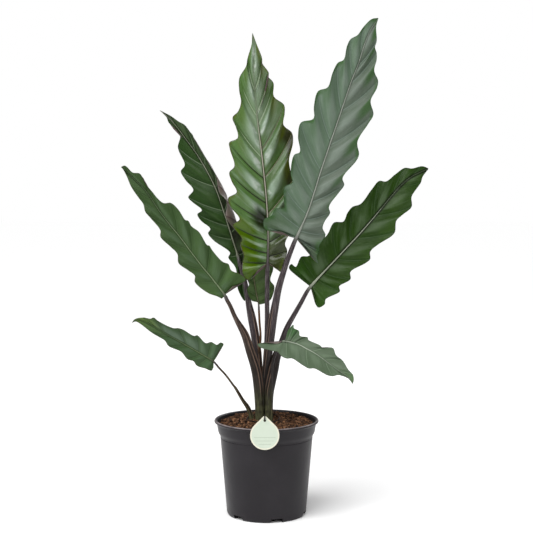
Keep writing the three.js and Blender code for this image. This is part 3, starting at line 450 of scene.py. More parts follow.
# How much brighter than its own reflectance a surface looks under the stage's lights.
STAGE_LIGHT = 1.6


def srgb(red, green, blue):
    """The reflectance of a surface that looks so on the stage, from display values of 0 to 255."""
    def linear(value):
        share = value / 255
        return (share / 12.92 if share <= 0.04045 else ((share + 0.055) / 1.055) ** 2.4) / STAGE_LIGHT

    return linear(red), linear(green), linear(blue)


# Paints of each upper face: its left and right halves, the clouds that mottle them, a highlight painted on
# the swell in the middle of each panel, shade painted in the valley beside a side vein, the vein, the midrib
# with the line beside it, the margin, and the glow of the basal lobes. Most are a colour with its share, and
# the lines have their half width in millimetres too. grain is the share of fine streaks in the painted
# highlight's colour. roughness, coat and gloss are the shader's own.
FINISHES = {
    "young": {
        "left": srgb(92, 126, 68), "right": srgb(86, 112, 66), "cloud": (srgb(66, 100, 34), 0.6),
        "swell": (srgb(176, 196, 178), 0.7), "grain": 0.3,
        "valley_shade": (srgb(58, 94, 14), 0.5, 4.0), "vein": (srgb(28, 34, 12), 0.95, 1.15),
        "rib": srgb(184, 180, 162), "beside": (srgb(40, 34, 20), 0.85, 1.7),
        "edge": (srgb(46, 38, 16), 0.85, 1.6), "glow": (srgb(78, 108, 2), 0.98),
        "roughness": 0.3, "coat": 0.35, "gloss": 0.14,
    },
    "grey": {
        "left": srgb(104, 126, 104), "right": srgb(100, 112, 98), "cloud": (srgb(82, 104, 80), 0.4),
        "swell": (srgb(150, 162, 152), 0.4), "grain": 0.26,
        "valley_shade": (srgb(84, 104, 88), 0.3, 4.0), "vein": (srgb(134, 150, 138), 0.5, 0.8),
        "rib": srgb(152, 158, 146), "beside": (srgb(70, 76, 66), 0.5, 1.8),
        "edge": (srgb(50, 84, 44), 0.85, 1.8), "glow": (srgb(70, 92, 56), 0.5),
        "roughness": 0.46, "coat": 0.0, "gloss": 0.14,
    },
    "dark": {
        "left": srgb(46, 76, 18), "right": srgb(54, 82, 28), "cloud": (srgb(32, 58, 10), 0.5),
        "swell": (srgb(108, 130, 96), 0.5), "grain": 0.26,
        "valley_shade": (srgb(36, 66, 22), 0.5, 4.0), "vein": (srgb(96, 120, 76), 0.25, 0.7),
        "rib": srgb(180, 188, 164), "beside": (srgb(22, 32, 12), 0.9, 2.2),
        "edge": (srgb(30, 42, 20), 0.8, 1.2), "glow": (srgb(52, 92, 24), 0.5),
        "roughness": 0.36, "coat": 0.0, "gloss": 0.1,
    },
    "deep": {
        # The right half's near-black is shade painted inside its roll.
        "left": srgb(46, 74, 30), "right": srgb(26, 30, 14), "cloud": (srgb(30, 52, 14), 0.4),
        "swell": (srgb(74, 98, 56), 0.35), "grain": 0.2,
        "valley_shade": (srgb(34, 60, 24), 0.5, 4.0), "vein": (srgb(120, 138, 106), 0.6, 0.8),
        "rib": srgb(146, 152, 128), "beside": (srgb(30, 36, 22), 0.7, 1.8),
        "edge": (srgb(40, 44, 26), 0.8, 1.2), "glow": (srgb(46, 78, 28), 0.4),
        "roughness": 0.38, "coat": 0.0, "gloss": 0.1,
    },
    "mid": {
        "left": srgb(76, 102, 60), "right": srgb(74, 100, 58), "cloud": (srgb(62, 86, 46), 0.4),
        "swell": (srgb(102, 126, 98), 0.4), "grain": 0.2,
        "valley_shade": (srgb(52, 80, 36), 0.3, 3.5), "vein": (srgb(104, 126, 84), 0.25, 0.7),
        "rib": srgb(130, 150, 108), "beside": (srgb(38, 50, 26), 0.6, 1.5),
        "edge": (srgb(84, 70, 48), 0.6, 1.2), "glow": (srgb(76, 106, 48), 0.4),
        "roughness": 0.4, "coat": 0.0, "gloss": 0.1,
    },
    "soft": {
        "left": srgb(74, 102, 64), "right": srgb(80, 104, 72), "cloud": (srgb(66, 88, 56), 0.4),
        "swell": (srgb(108, 130, 104), 0.35), "grain": 0.2,
        "valley_shade": (srgb(60, 86, 46), 0.5, 3.0), "vein": (srgb(112, 134, 98), 0.4, 0.6),
        "rib": srgb(106, 124, 84), "beside": (srgb(52, 68, 38), 0.6, 1.5),
        "edge": (srgb(78, 66, 42), 0.7, 1.2), "glow": (srgb(74, 100, 68), 0.6),
        "roughness": 0.42, "coat": 0.0, "gloss": 0.12,
    },
    "pale": {
        "left": srgb(98, 114, 92), "right": srgb(90, 108, 84), "cloud": (srgb(80, 98, 72), 0.4),
        "swell": (srgb(122, 142, 116), 0.35), "grain": 0.2,
        "valley_shade": (srgb(82, 104, 76), 0.5, 3.0), "vein": (srgb(134, 150, 126), 0.5, 0.6),
        "rib": srgb(156, 168, 148), "beside": (srgb(72, 88, 64), 0.4, 1.5),
        "edge": (srgb(58, 70, 46), 0.6, 1.0), "glow": (srgb(64, 106, 56), 0.85),
        "roughness": 0.42, "coat": 0.0, "gloss": 0.12,
    },
    "shade": {
        "left": srgb(72, 96, 52), "right": srgb(80, 104, 56), "cloud": (srgb(58, 80, 42), 0.4),
        "swell": (srgb(98, 120, 76), 0.3), "grain": 0.2,
        "valley_shade": (srgb(48, 70, 32), 0.5, 3.0), "vein": (srgb(98, 114, 78), 0.4, 0.6),
        "rib": srgb(98, 98, 64), "beside": (srgb(48, 56, 30), 0.6, 1.5),
        "edge": (srgb(40, 42, 24), 0.8, 1.0), "glow": (srgb(60, 86, 36), 0.4),
        "roughness": 0.42, "coat": 0.0, "gloss": 0.12,
    },
}

# Where the tip of a blade has another colour: from one vein number to the next, and its share.
TIPS = {
    "young": (8.7, 9.3, srgb(98, 90, 50), 0.6),
    "soft": (2.7, 4.2, srgb(124, 152, 78), 0.85),
    "pale": (3.4, 4.6, srgb(84, 120, 64), 0.6),
}

# Where the midrib turns to the blade's own colour: from one distance along it to the next, in millimetres.
RIB_FADES = {"dark": (150.0, 240.0), "mid": (150.0, 240.0), "pale": (50.0, 120.0), "soft": (60.0, 130.0)}

# A patchy tint along the margins and in the teeth of the two tall leaves: its colour and share, and how far
# the patches reach in, in millimetres.
MARGINS = {"young": (srgb(84, 98, 16), 0.75, 9.0), "grey": (srgb(60, 98, 46), 0.85, 12.0)}

# More paints of the young leaf: a painted silvery sheen on its upper part, painted wet-looking highlights in
# patches, the brown and the dull stretch of its right half, a painted cast shadow beside the midrib on its
# left half, the pale lines in its veins and a highlight painted along its upper veins.
YOUNG = {
    "silver_sheen": (srgb(164, 182, 160), 0.38), "wet_highlight": (srgb(218, 226, 216), 0.86),
    "brown": (srgb(42, 40, 12), 0.9), "dull": (srgb(56, 62, 28), 0.85), "cast_shadow": (srgb(22, 32, 4), 0.97),
    "core": (srgb(160, 158, 124), 0.85), "high": (srgb(178, 194, 164), 0.6),
}

# The painted sheen, a highlight, on the right half of the soft finish, and the green that the deep finish's
# right half turns to where the shade painted inside its roll ends.
SOFT_SHEEN = (srgb(112, 132, 112), 0.55)
DEEP_GREEN = srgb(66, 84, 54)

# Stalks that differ from the common one: the name of their finish, its dark and its pale streaks.
COMMON_STREAK = srgb(140, 130, 130)
OTHER_STALKS = {
    "inner": ("young", srgb(92, 62, 38), srgb(150, 110, 66)),
    "left": ("brown", srgb(58, 46, 40), srgb(138, 120, 108)),
    "low_left": ("thin", srgb(70, 58, 44), srgb(122, 106, 80)),
}

LEAF_SLOTS = {
    "young": "leaf_young", "grey": "leaf_grey", "pale": "leaf_grey", "dark": "leaf_dark", "deep": "leaf_dark",
    "mid": "leaf_dark", "soft": "leaf_dark", "shade": "leaf_dark",
}


class PotSettings(bpy.types.PropertyGroup):
    """Sizes and colour of the plastic pot."""

    lip_radius: FloatProperty(
        name="Lip radius", description="Across the rolled lip, half", default=0.095, unit="LENGTH"
    )
    height: FloatProperty(
        name="Height", description="From the foot to the lip", default=0.1715, unit="LENGTH"
    )
    foot_radius: FloatProperty(
        name="Foot radius", description="At the underside", default=0.0716, unit="LENGTH"
    )
    wall: FloatProperty(name="Wall", description="Thickness of the plastic", default=0.0018, unit="LENGTH")
    colour: FloatVectorProperty(
        name="Plastic", description="Colour of the plastic", default=srgb(40, 37, 41), size=3, subtype="COLOR"
    )
    # Colour of the highlight painted along the lip's edge.
    lip_highlight: FloatVectorProperty(
        name="Lip edge", description="Colour of the lip's rubbed edge", default=srgb(164, 152, 152),
        size=3, subtype="COLOR",
    )


class BladeSettings(bpy.types.PropertyGroup):
    """Sizes shared by all the leaf blades."""

    thickness: FloatProperty(name="Thickness", description="Of the blade", default=0.0006, unit="LENGTH")
    groove: FloatProperty(
        name="Vein depth", description="How deep a side vein is sunk", default=0.0009, unit="LENGTH"
    )
    groove_width: FloatProperty(name="Vein width", description="Of its groove", default=0.0022, unit="LENGTH")
    underside: FloatVectorProperty(
        name="Underside", description="Colour of the lower face", default=srgb(112, 96, 86), size=3,
        subtype="COLOR",
    )
    columns: IntProperty(name="Columns", description="Mesh columns from one vein to the next", default=22)
    rows: IntProperty(name="Rows", description="Mesh rows from the midrib to the margin", default=24)


class StalkSettings(bpy.types.PropertyGroup):
    """Looks of the leaf stalks."""

    colour: FloatVectorProperty(
        name="Stalk", description="Main colour of a stalk", default=srgb(58, 50, 53), size=3, subtype="COLOR"
    )
    base_colour: FloatVectorProperty(
        name="Base", description="Colour where the stalks leave the soil", default=srgb(92, 94, 66), size=3,
        subtype="COLOR",
    )
    sheath_edge: FloatVectorProperty(
        name="Sheath edge", description="Colour of the sheath's thin edges", default=srgb(132, 106, 90),
        size=3, subtype="COLOR",
    )


class SoilSettings(bpy.types.PropertyGroup):
    """The potting mix."""

    crumbs: IntProperty(name="Crumbs", description="Loose crumbs on the surface", default=3200)
    fibres: IntProperty(name="Fibres", description="Loose fibres on the surface", default=340)
    seed: IntProperty(name="Seed", description="Start of the random draws", default=11)
    colour: FloatVectorProperty(
        name="Soil", description="Colour of the moist mix", default=srgb(104, 72, 50), size=3, subtype="COLOR"
    )


class TagSettings(bpy.types.PropertyGroup):
    """The hang tag and its tie."""

    face: FloatVectorProperty(
        name="Face", description="Colour inside the border", default=srgb(226, 238, 220), size=3,
        subtype="COLOR",
    )
    border: FloatVectorProperty(
        name="Border", description="Colour of the border", default=srgb(250, 248, 226), size=3,
        subtype="COLOR",
    )
    border_width: FloatProperty(
        name="Border width", description="From the edge in", default=0.0024, unit="LENGTH"
    )


class StageSettings(bpy.types.PropertyGroup):
    """Camera, floor and light."""

    lens: FloatProperty(name="Lens", description="Focal length in millimetres", default=83.1)
    pitch: FloatProperty(
        name="Pitch", description="Camera's tilt down", default=math.radians(4.24), subtype="ANGLE"
    )
    floor: FloatVectorProperty(
        name="Floor", description="Colour of the floor", default=(0.95, 0.95, 0.95), size=3, subtype="COLOR"
    )


def in_sight(x, z, depth):
    """Points seen at (x, z) in the plane of the pot's axis, carried along their lines of sight to depth."""
    scale = (EYE_DISTANCE + depth) / EYE_DISTANCE
    return np.stack([x * scale, depth + 0 * x, EYE_HEIGHT + (z - EYE_HEIGHT) * scale], axis=-1)


def spline(points, params):
    """Places on the centripetal curve through points, at params from 0 to one less than their number."""
    points = np.asarray(points, float)
    params = np.asarray(params, float)
    padded = np.vstack([2 * points[0] - points[1], points, 2 * points[-1] - points[-2]])
    first = np.clip(np.floor(params).astype(int), 0, len(points) - 2)
    share = (params - first)[:, None]
    p0, p1, p2, p3 = (padded[first + step] for step in range(4))
    d0, d1, d2 = (
        np.maximum(np.sum((b - a) ** 2, axis=1) ** 0.25, 1e-6)[:, None]
        for a, b in ((p0, p1), (p1, p2), (p2, p3))
    )
    start = ((p1 - p0) / d0 - (p2 - p0) / (d0 + d1) + (p2 - p1) / d1) * d1
    end = ((p2 - p1) / d1 - (p3 - p1) / (d1 + d2) + (p3 - p2) / d2) * d1
    cubic = 2 * (p1 - p2) + start + end
    square = 3 * (p2 - p1) - 2 * start - end
    return p1 + share * (start + share * (square + share * cubic))


def smooth(value, low, high):
    """0 below low, 1 above high, and an S-shaped rise between them."""
    share = np.clip((value - low) / (high - low), 0, 1)
    return share * share * (3 - 2 * share)


def clamped(value):
    """value, kept between 0 and 1."""
    return min(1.0, max(0.0, value))


def unit(vectors):
    """The vectors at a length of 1."""
    return vectors / np.maximum(np.linalg.norm(vectors, axis=-1, keepdims=True), 1e-12)


def square_to(toward, ahead):
    """The part of toward that is square to each direction ahead, at a length of 1."""
    return unit(toward - ahead * np.sum(toward * ahead, axis=1, keepdims=True))


def make_piece(name, points, faces, materials, face_materials=None, values=None, slot=None):
    """A new smooth mesh object in the scene. values holds numbers for each point, by name."""
    mesh = bpy.data.meshes.new(name)
    mesh.from_pydata(np.asarray(points).tolist(), [], [tuple(face) for face in faces])
    for material in materials:
        mesh.materials.append(material)
    if face_materials is not None:
        mesh.polygons.foreach_set("material_index", np.asarray(face_materials, dtype=np.int32))
    for key, numbers in (values or {}).items():
        attribute = mesh.attributes.new(key, "FLOAT", "POINT")
        attribute.data.foreach_set("value", np.asarray(numbers, dtype=np.float32))
    mesh.polygons.foreach_set("use_smooth", [True] * len(mesh.polygons))
    mesh.update()
    piece = bpy.data.objects.new(name, mesh)
    bpy.context.scene.collection.objects.link(piece)
    if slot:
        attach(piece, "root")
    return piece


class Finish:
    """One material and the nodes that it is built from."""

    def __init__(self, name, roughness=0.5, gloss=0.5):
        self.material = bpy.data.materials.new(name)
        self.material.use_nodes = True
        self.tree = self.material.node_tree
        self.tree.nodes.clear()
        self.surface = self.tree.nodes.new("ShaderNodeBsdfPrincipled")
        self.colour = None
        self.surface.inputs["Roughness"].default_value = roughness
        self.surface.inputs["Specular IOR Level"].default_value = gloss
        output = self.tree.nodes.new("ShaderNodeOutputMaterial")
        self.tree.links.new(self.surface.outputs["BSDF"], output.inputs["Surface"])

    def put(self, node, key, value):
        """Sets an input to a number or colour, or links it to another node's output."""
        socket = node.inputs[key]
        if isinstance(value, bpy.types.NodeSocket):
            self.tree.links.new(value, socket)
        elif isinstance(value, (tuple, list)) and socket.type == "RGBA":
            socket.default_value = (*value[:3], 1)
        else:
            socket.default_value = value

    def math(self, operation, first, second=0.0, third=0.0):
        """The result of one calculation, such as ADD."""
        node = self.tree.nodes.new("ShaderNodeMath")
        node.operation = operation
        for index, value in enumerate((first, second, third)):
            self.put(node, index, value)
        return node.outputs[0]

    def times(self, first, *others):
        """The product of all its arguments."""
        for other in others:
            first = self.math("MULTIPLY", first, other)
        return first

    def length(self, across, up):
        """The length of a line from its two sides."""
        return self.math("SQRT", self.math("ADD", self.times(across, across), self.times(up, up)))

    def blend(self, factor, first, second):
        """first where factor is 0 and second where it is 1."""
        node = self.tree.nodes.new("ShaderNodeMix")
        node.data_type = "RGBA"
        self.put(node, 0, factor)
        self.put(node, 6, first)
        self.put(node, 7, second)
        return node.outputs[2]

    def cover(self, colour, factor):
        """Puts a colour over the one so far, where factor is 1."""
        self.colour = self.blend(factor, self.colour, colour)

    def lay(self, paint, *masks):
        """Puts a paint, which is a colour with its share, over the colour so far, where all masks are 1."""
        self.cover(paint[0], self.times(*masks, paint[1]))

    def rise(self, value, low, high, start=0.0, end=1.0):
        """A smooth step from start to end while value goes from low to high."""
        node = self.tree.nodes.new("ShaderNodeMapRange")
        node.interpolation_type = "SMOOTHSTEP"
        for index, number in enumerate((value, low, high, start, end)):
            self.put(node, index, number)
        return node.outputs[0]

    def value(self, name):
        """The numbers that a mesh holds for each point under name."""
        node = self.tree.nodes.new("ShaderNodeAttribute")
        node.attribute_name = name
        return node.outputs["Fac"]

    def place(self):
        """Where a point is, as one vector."""
        return self.tree.nodes.new("ShaderNodeTexCoord").outputs["Object"]

    def axes(self):
        """Where a point is, as x, y and z in metres."""
        node = self.tree.nodes.new("ShaderNodeSeparateXYZ")
        self.put(node, 0, self.place())
        return node.outputs

    def vector(self, x, y, z):
        """One vector from three numbers."""
        node = self.tree.nodes.new("ShaderNodeCombineXYZ")
        for index, value in enumerate((x, y, z)):
            self.put(node, index, value)
        return node.outputs[0]

    def noise(self, scale, detail=3.0, where=None, roughness=0.55):
        """Soft clouds of 0 to 1, with this many to the metre unless where is given."""
        node = self.tree.nodes.new("ShaderNodeTexNoise")
        self.put(node, "Vector", where or self.place())
        self.put(node, "Scale", scale)
        self.put(node, "Detail", detail)
        self.put(node, "Roughness", roughness)
        return node.outputs["Fac"]

    def bump(self, height, distance):
        """Raises the surface by height times distance, over any bump already there."""
        node = self.tree.nodes.new("ShaderNodeBump")
        self.put(node, "Height", height)
        self.put(node, "Distance", distance)
        earlier = self.surface.inputs["Normal"].links
        if earlier:
            self.put(node, "Normal", earlier[0].from_socket)
        self.put(self.surface, "Normal", node.outputs[0])

    def painted(self):
        """The finished material, with its colour put on."""
        self.put(self.surface, "Base Color", self.colour)
        return self.material


class BladeFinish(Finish):
    """A blade's finish, with what its mesh holds: vein, the vein number; share, 0 at the midrib and 1 at
    the margin; and the distances to the nearest side vein and to the margin in millimetres."""

    def __init__(self, name, roughness=0.5, gloss=0.5):
        super().__init__(name, roughness, gloss)
        self.vein = self.value("vein")
        self.share = self.value("share")
        self.vein_gap = self.value("vein_mm")
        self.edge_gap = self.value("edge_mm")

    def streaks(self, third):
        """Fine streaks that run along the side veins. third picks the pattern."""
        where = self.vector(self.times(self.vein, 11.0), self.times(self.share, 1.7), third)
        return self.noise(1.0, 3.0, where)


def leaf_ground(face, key, right, cloud, grain):
    """Paints an upper face all but its veins: both halves, with painted shade in the deep finish's roll,
    clouds, streaks, lobes and tip, and painted highlights on the panels, painted sheen and painted wet
    highlights.
    """
    looks = FINISHES[key]
    rise = face.rise
    vein = face.vein
    share = face.share
    left = rise(right, 0.6, 0.4)
    panel = face.math("MULTIPLY_ADD", face.math("COSINE", face.times(vein, math.tau)), -0.5, 0.5)
    right_colour = looks["right"]
    # The deep finish's right half is near-black painted shade inside its roll, turning green past its third
    # vein.
    if key == "deep":
        right_colour = face.blend(rise(vein, 2.7, 3.5), right_colour, DEEP_GREEN)
    face.colour = face.blend(right, looks["left"], right_colour)
    face.lay(looks["cloud"], rise(cloud, 0.38, 0.68))
    # Fine streaks along the side veins, in the painted highlight's colour.
    face.cover(looks["swell"][0], rise(grain, 0.48, 0.78, 0.0, looks["grain"]))
    glow = face.times(rise(vein, 0.6, -0.6), rise(share, 0.1, 0.6))
    if key == "pale":
        glow = face.times(glow, left)
    if key == "young":
        low = face.times(rise(vein, 2.8, 2.45), rise(share, 0.25, 0.5), left)
        glow = face.math("MAXIMUM", glow, low)
    face.lay(looks["glow"], glow)
    # A highlight painted on the swell in the middle of each panel, near the midrib.
    swell = face.times(rise(share, 0.03, 0.2), rise(share, 0.9, 0.3), rise(panel, 0.35, 0.95))
    swell = face.times(swell, rise(cloud, 0.3, 0.6, 0.35, 1.0))
    if key == "young":
        thinned = face.math("MAXIMUM", rise(vein, 2.5, 2.9), rise(panel, 0.8, 1.0))
        swell = face.times(swell, face.math("MAXIMUM", thinned, right), rise(vein, 0.2, 1.0, 0.2, 1.0))
    face.lay(looks["swell"], swell)
    # A painted sheen, a highlight, over the inner part of the soft finish's right half.
    if key == "soft":
        sheen = face.times(rise(share, 0.0, 0.2), rise(share, 0.85, 0.4), right, rise(vein, 0.3, 1.2))
        face.lay(SOFT_SHEEN, sheen)
    if key == "young":
        # A painted silvery sheen over the upper part of the young leaf.
        face.lay(YOUNG["silver_sheen"], rise(vein, 4.8, 6.5), rise(share, 0.8, 0.3))
    if key in TIPS:
        start, end, tint, amount = TIPS[key]
        face.lay((tint, amount), rise(vein, start, end))
    if key == "young":
        # Painted wet-looking highlights, in patches on the panels near the midrib.
        wet_highlight = face.times(rise(panel, 0.6, 1.0), rise(share, 0.02, 0.1), rise(share, 0.5, 0.2))
        wet_highlight = face.times(wet_highlight, rise(face.noise(60.0, 2.0), 0.42, 0.62), rise(vein, 2.5, 3.5, 0.22, 0.7))
        face.lay(YOUNG["wet_highlight"], wet_highlight, rise(vein, 5.2, 6.8, 1.0, 1.45))


def leaf_veins(face, key, right):
    """Paints an upper face's valleys with painted shade, its side veins and the dark lines along its midrib,
    and on the young leaf a painted cast shadow and a highlight painted along its upper veins.
    """
    looks = FINISHES[key]
    rise = face.rise
    vein = face.vein
    share = face.share
    # Painted shade darkens the valley beside each side vein.
    valley_shade = face.times(rise(face.vein_gap, looks["valley_shade"][2], 0.8), rise(share, 0.0, 0.25, 0.4, 1.0))
    face.lay(looks["valley_shade"], valley_shade)
    if key == "young":
        browned = face.times(right, rise(share, 0.62, 0.84), rise(vein, 2.4, 3.2), rise(vein, 4.7, 4.2))
        face.lay(YOUNG["brown"], browned)
        face.lay(YOUNG["dull"], right, rise(vein, 1.5, 0.5))
        # A painted cast shadow beside the midrib on the left half.
        cast_shadow = face.times(rise(vein, 2.3, 2.85), rise(vein, 3.8, 3.3), rise(share, 0.52, 0.22))
        face.lay(YOUNG["cast_shadow"], cast_shadow, rise(right, 0.6, 0.4))
    thin = face.times(looks["vein"][2], rise(share, 0.0, 1.0, 1.15, 0.5))
    gap = face.math("DIVIDE", face.vein_gap, thin)
    line = face.times(rise(gap, 1.15, 0.55), rise(share, 1.0, 0.7, 0.3, 1.0))
    beside = rise(face.value("rib_mm"), looks["beside"][2] * 1.9, looks["beside"][2])
    if key == "young":
        line = face.times(line, rise(vein, 5.8, 4.8, 0.12, 1.0))
        beside = face.times(beside, rise(vein, 7.0, 5.0, 0.2, 1.0))
    face.lay(looks["vein"], line)
    if key == "young":
        core = face.times(right, rise(gap, 0.5, 0.2), rise(vein, 1.5, 2.5), rise(vein, 5.6, 4.6))
        face.lay(YOUNG["core"], core)
        # A highlight painted along the pale line of the upper veins.
        high = face.times(rise(vein, 5.3, 5.7), rise(share, 0.8, 0.5), rise(gap, 0.9, 0.4))
        face.lay(YOUNG["high"], high)
    face.lay(looks["beside"], beside)


def leaf_margin(face, key, right):
    """Paints the tint of an upper face's margin and teeth, and its thin edge."""
    rise = face.rise
    if key in MARGINS:
        reach = MARGINS[key][2]
        patchy = rise(face.noise(38.0, 2.0), 0.42, 0.6)
        tinted = face.times(rise(face.edge_gap, reach, 0.2 * reach), patchy)
        tooth = face.math("COSINE", face.math("MULTIPLY_ADD", face.vein, math.tau, 0.62 * math.tau))
        tooth = face.times(rise(tooth, 0.0, 0.8), rise(face.share, 0.45, 0.85))
        tooth = face.times(tooth, rise(right, 0.4, 0.6, 0.35, 0.95), rise(face.vein, 2.0, 4.0))
        tinted = face.math("MAXIMUM", tinted, tooth)
        face.lay(MARGINS[key], tinted)
    edge = FINISHES[key]["edge"]
    face.lay(edge, rise(face.edge_gap, edge[2], 0.4 * edge[2]))


def upper_face(key):
    """A blade's upper face."""
    looks = FINISHES[key]
    roughness = looks["roughness"]
    face = BladeFinish(f"leaf_upper_{key}", roughness, looks["gloss"])
    right = face.rise(face.value("side"), -0.5, 0.5)
    cloud = face.noise(24.0, 4.0)
    grain = face.streaks(right)
    leaf_ground(face, key, right, cloud, grain)
    leaf_veins(face, key, right)
    leaf_margin(face, key, right)
    face.put(face.surface, "Coat Weight", looks["coat"])
    face.put(face.surface, "Coat Roughness", 0.14)
    face.put(face.surface, "Roughness", face.rise(cloud, 0.3, 0.75, roughness - 0.04, roughness + 0.08))
    face.bump(grain, 0.0007)
    face.bump(face.noise(420.0, 3.0), 0.00012)
    face.bump(face.noise(60.0, 2.0), 0.0007)
    return face.painted()


def lower_face(settings):
    """A blade's underside: grey-brown with darker veins."""
    face = BladeFinish("leaf_lower")
    cloud = face.noise(22.0, 4.0)
    grain = face.streaks(4.0)
    face.colour = tuple(settings.underside)
    face.cover(srgb(86, 92, 72), face.rise(cloud, 0.3, 0.75, 0.0, 0.6))
    face.cover(srgb(70, 62, 54), face.rise(grain, 0.5, 0.8, 0.0, 0.3))
    face.cover(srgb(84, 64, 58), face.rise(face.vein_gap, 5.0, 1.0, 0.0, 0.35))
    face.cover(srgb(66, 40, 40), face.rise(face.vein_gap, 1.7, 0.7, 0.0, 0.9))
    face.cover(srgb(60, 46, 38), face.rise(face.edge_gap, 1.1, 0.3, 0.0, 0.7))
    face.put(face.surface, "Sheen Weight", 0.1)
    face.bump(grain, 0.0006)
    face.bump(face.noise(300.0, 3.0), 0.00015)
    return face.painted()


def put_streaks(finish, dark, pale):
    """Paints a stalk dark, with thin pale streaks and flecks along it. Its mesh holds millimetres."""
    around = finish.value("around_mm")
    along = finish.value("along_mm")
    streak = finish.noise(0.95, 3.0, finish.vector(around, finish.times(along, 0.045), 0.0))
    fleck = finish.noise(1.5, 2.0, finish.vector(around, finish.times(along, 0.22), 7.0))
    finish.colour = finish.blend(finish.rise(streak, 0.45, 0.68, 0.0, 0.6), dark, pale)
    finish.cover(pale, finish.rise(fleck, 0.6, 0.75, 0.0, 0.36))
    finish.bump(streak, 0.0005)


def stalk_face(settings, kind, dark, pale):
    """A leaf stalk: darkened low down by painted shade, green at the crown, with painted shade in its
    sheath's groove and pale edges to its sheath.
    """
    finish = Finish(f"stalk_{kind}", 0.45, 0.16)
    rise = finish.rise
    put_streaks(finish, dark, pale)
    height = finish.axes()[2]
    # Painted shade, in patches, low down where the stalks crowd together.
    if kind != "thin":
        patchy = rise(finish.noise(45.0, 3.0), 0.2, 0.5, 0.45, 0.85)
        finish.cover(srgb(32, 27, 22), finish.times(rise(height, 0.35, 0.26), patchy))
    where = finish.vector(finish.value("around_mm"), finish.times(finish.value("along_mm"), 0.3), 3.0)
    blotch = rise(finish.noise(0.28, 3.0, where), 0.36, 0.6, 0.25, 1.0)
    green = finish.times(rise(height, 0.245, 0.185), 0.95, blotch)
    finish.cover(tuple(settings.base_colour), green)
    # Painted shade in the sheath's groove.
    finish.cover(srgb(22, 16, 12), rise(finish.value("groove"), 0.1, 0.8, 0.0, 0.8))
    finish.cover(tuple(settings.sheath_edge), rise(finish.value("wing"), 0.25, 0.75, 0.0, 0.7))
    finish.bump(finish.noise(500.0, 2.0), 0.0001)
    return finish.painted()


def rib_face(settings, key, upper):
    """A midrib: the stalk's colour at the neck, and the leaf's pale or dark one past the base."""
    finish = Finish(f"rib_{key}", 0.42, 0.16 if key == "soft" or not upper else 0.5)
    young = key == "young"
    rise = finish.rise
    along = finish.value("along_mm")
    put_streaks(finish, tuple(settings.colour), srgb(118, 108, 106))
    if key == "pale":
        finish.colour = srgb(98, 112, 88)
    beyond = FINISHES[key]["rib"] if upper else srgb(60, 36, 38)
    turn = (14.0, 100.0) if young else (2.0, 26.0)
    finish.cover(beyond, rise(along, *turn))
    if key in RIB_FADES and upper:
        finish.cover(FINISHES[key]["left"], rise(along, *RIB_FADES[key], 0.0, 0.85))
    if young and upper:
        finish.cover(srgb(126, 140, 112), rise(along, 230.0, 300.0))
        sides = rise(finish.value("height_share"), 0.85, 0.5, 0.0, 0.9)
        sides = finish.times(sides, rise(along, 300.0, 220.0, 0.25, 1.0))
        finish.cover(srgb(44, 34, 24), sides)
    return finish.painted()


def pot_face(settings):
    """Dark plastic: faintly dusty, with painted shade that makes it almost black inside, and a highlight
    painted in patches along the edge of its lip.
    """
    finish = Finish("pot_plastic", 0.4, 0.2)
    rise = finish.rise
    cloud = finish.noise(16.0, 4.0)
    plastic = tuple(settings.colour)
    dusty = tuple(min(1.0, 1.3 * part + 0.004) for part in plastic)
    finish.colour = finish.blend(rise(cloud, 0.35, 0.8, 0.0, 0.6), plastic, dusty)
    x, y, z = finish.axes()
    away = finish.length(x, y)
    lip = settings.lip_radius - LIP_SLIM
    top = settings.height
    # Painted shade: the inner wall above the soil turns near-black.
    inside = finish.times(rise(away, lip - 0.0054, lip - 0.0066), rise(z, 0.1, 0.15))
    inside = finish.times(inside, rise(finish.value("inward"), 0.4, 0.6, 0.0, 0.85))
    finish.cover(srgb(20, 14, 12), inside)
    # A highlight painted in patches along the top of the lip's outer edge.
    highlit = finish.times(rise(away, lip - 0.0034, lip - 0.0022), rise(z, top - 0.002, top - 0.001))
    highlit = finish.times(highlit, rise(finish.noise(60.0, 3.0), 0.3, 0.6, 0.35, 0.8))
    finish.cover(tuple(settings.lip_highlight), highlit)
    rough = finish.math("MULTIPLY_ADD", inside, 0.5, rise(cloud, 0.3, 0.75, 0.36, 0.44))
    finish.put(finish.surface, "Roughness", rough)
    finish.bump(finish.noise(900.0, 2.0), 0.00004)
    finish.bump(finish.noise(34.0, 2.0), 0.0005)
    return finish.painted()


def soil_face(settings):
    """Moist potting mix, from near-black to pale bits: the near-black, placed at random, is partly the mix's
    own dark and partly painted shade in the gaps between crumbs. Its mesh holds a grain of 0 to 1.
    """
    finish = Finish("potting_mix", 0.92, 0.25)
    grain = finish.value("grain")
    main = tuple(settings.colour)
    dark = tuple(part * 0.16 for part in main)
    # Low grain turns near-black: partly the mix's own dark, partly painted shade in its gaps.
    finish.colour = finish.blend(finish.rise(grain, 0.1, 0.62), dark, main)
    finish.cover(srgb(186, 136, 98), finish.rise(grain, 0.62, 0.95, 0.0, 0.85))
    # Fine near-black specks: partly the mix's own dark, partly painted shade in its gaps.
    finish.cover(dark, finish.rise(finish.noise(340.0, 4.0), 0.4, 0.7, 0.0, 0.65))
    finish.bump(finish.noise(700.0, 5.0, roughness=0.7), 0.0009)
    return finish.painted()


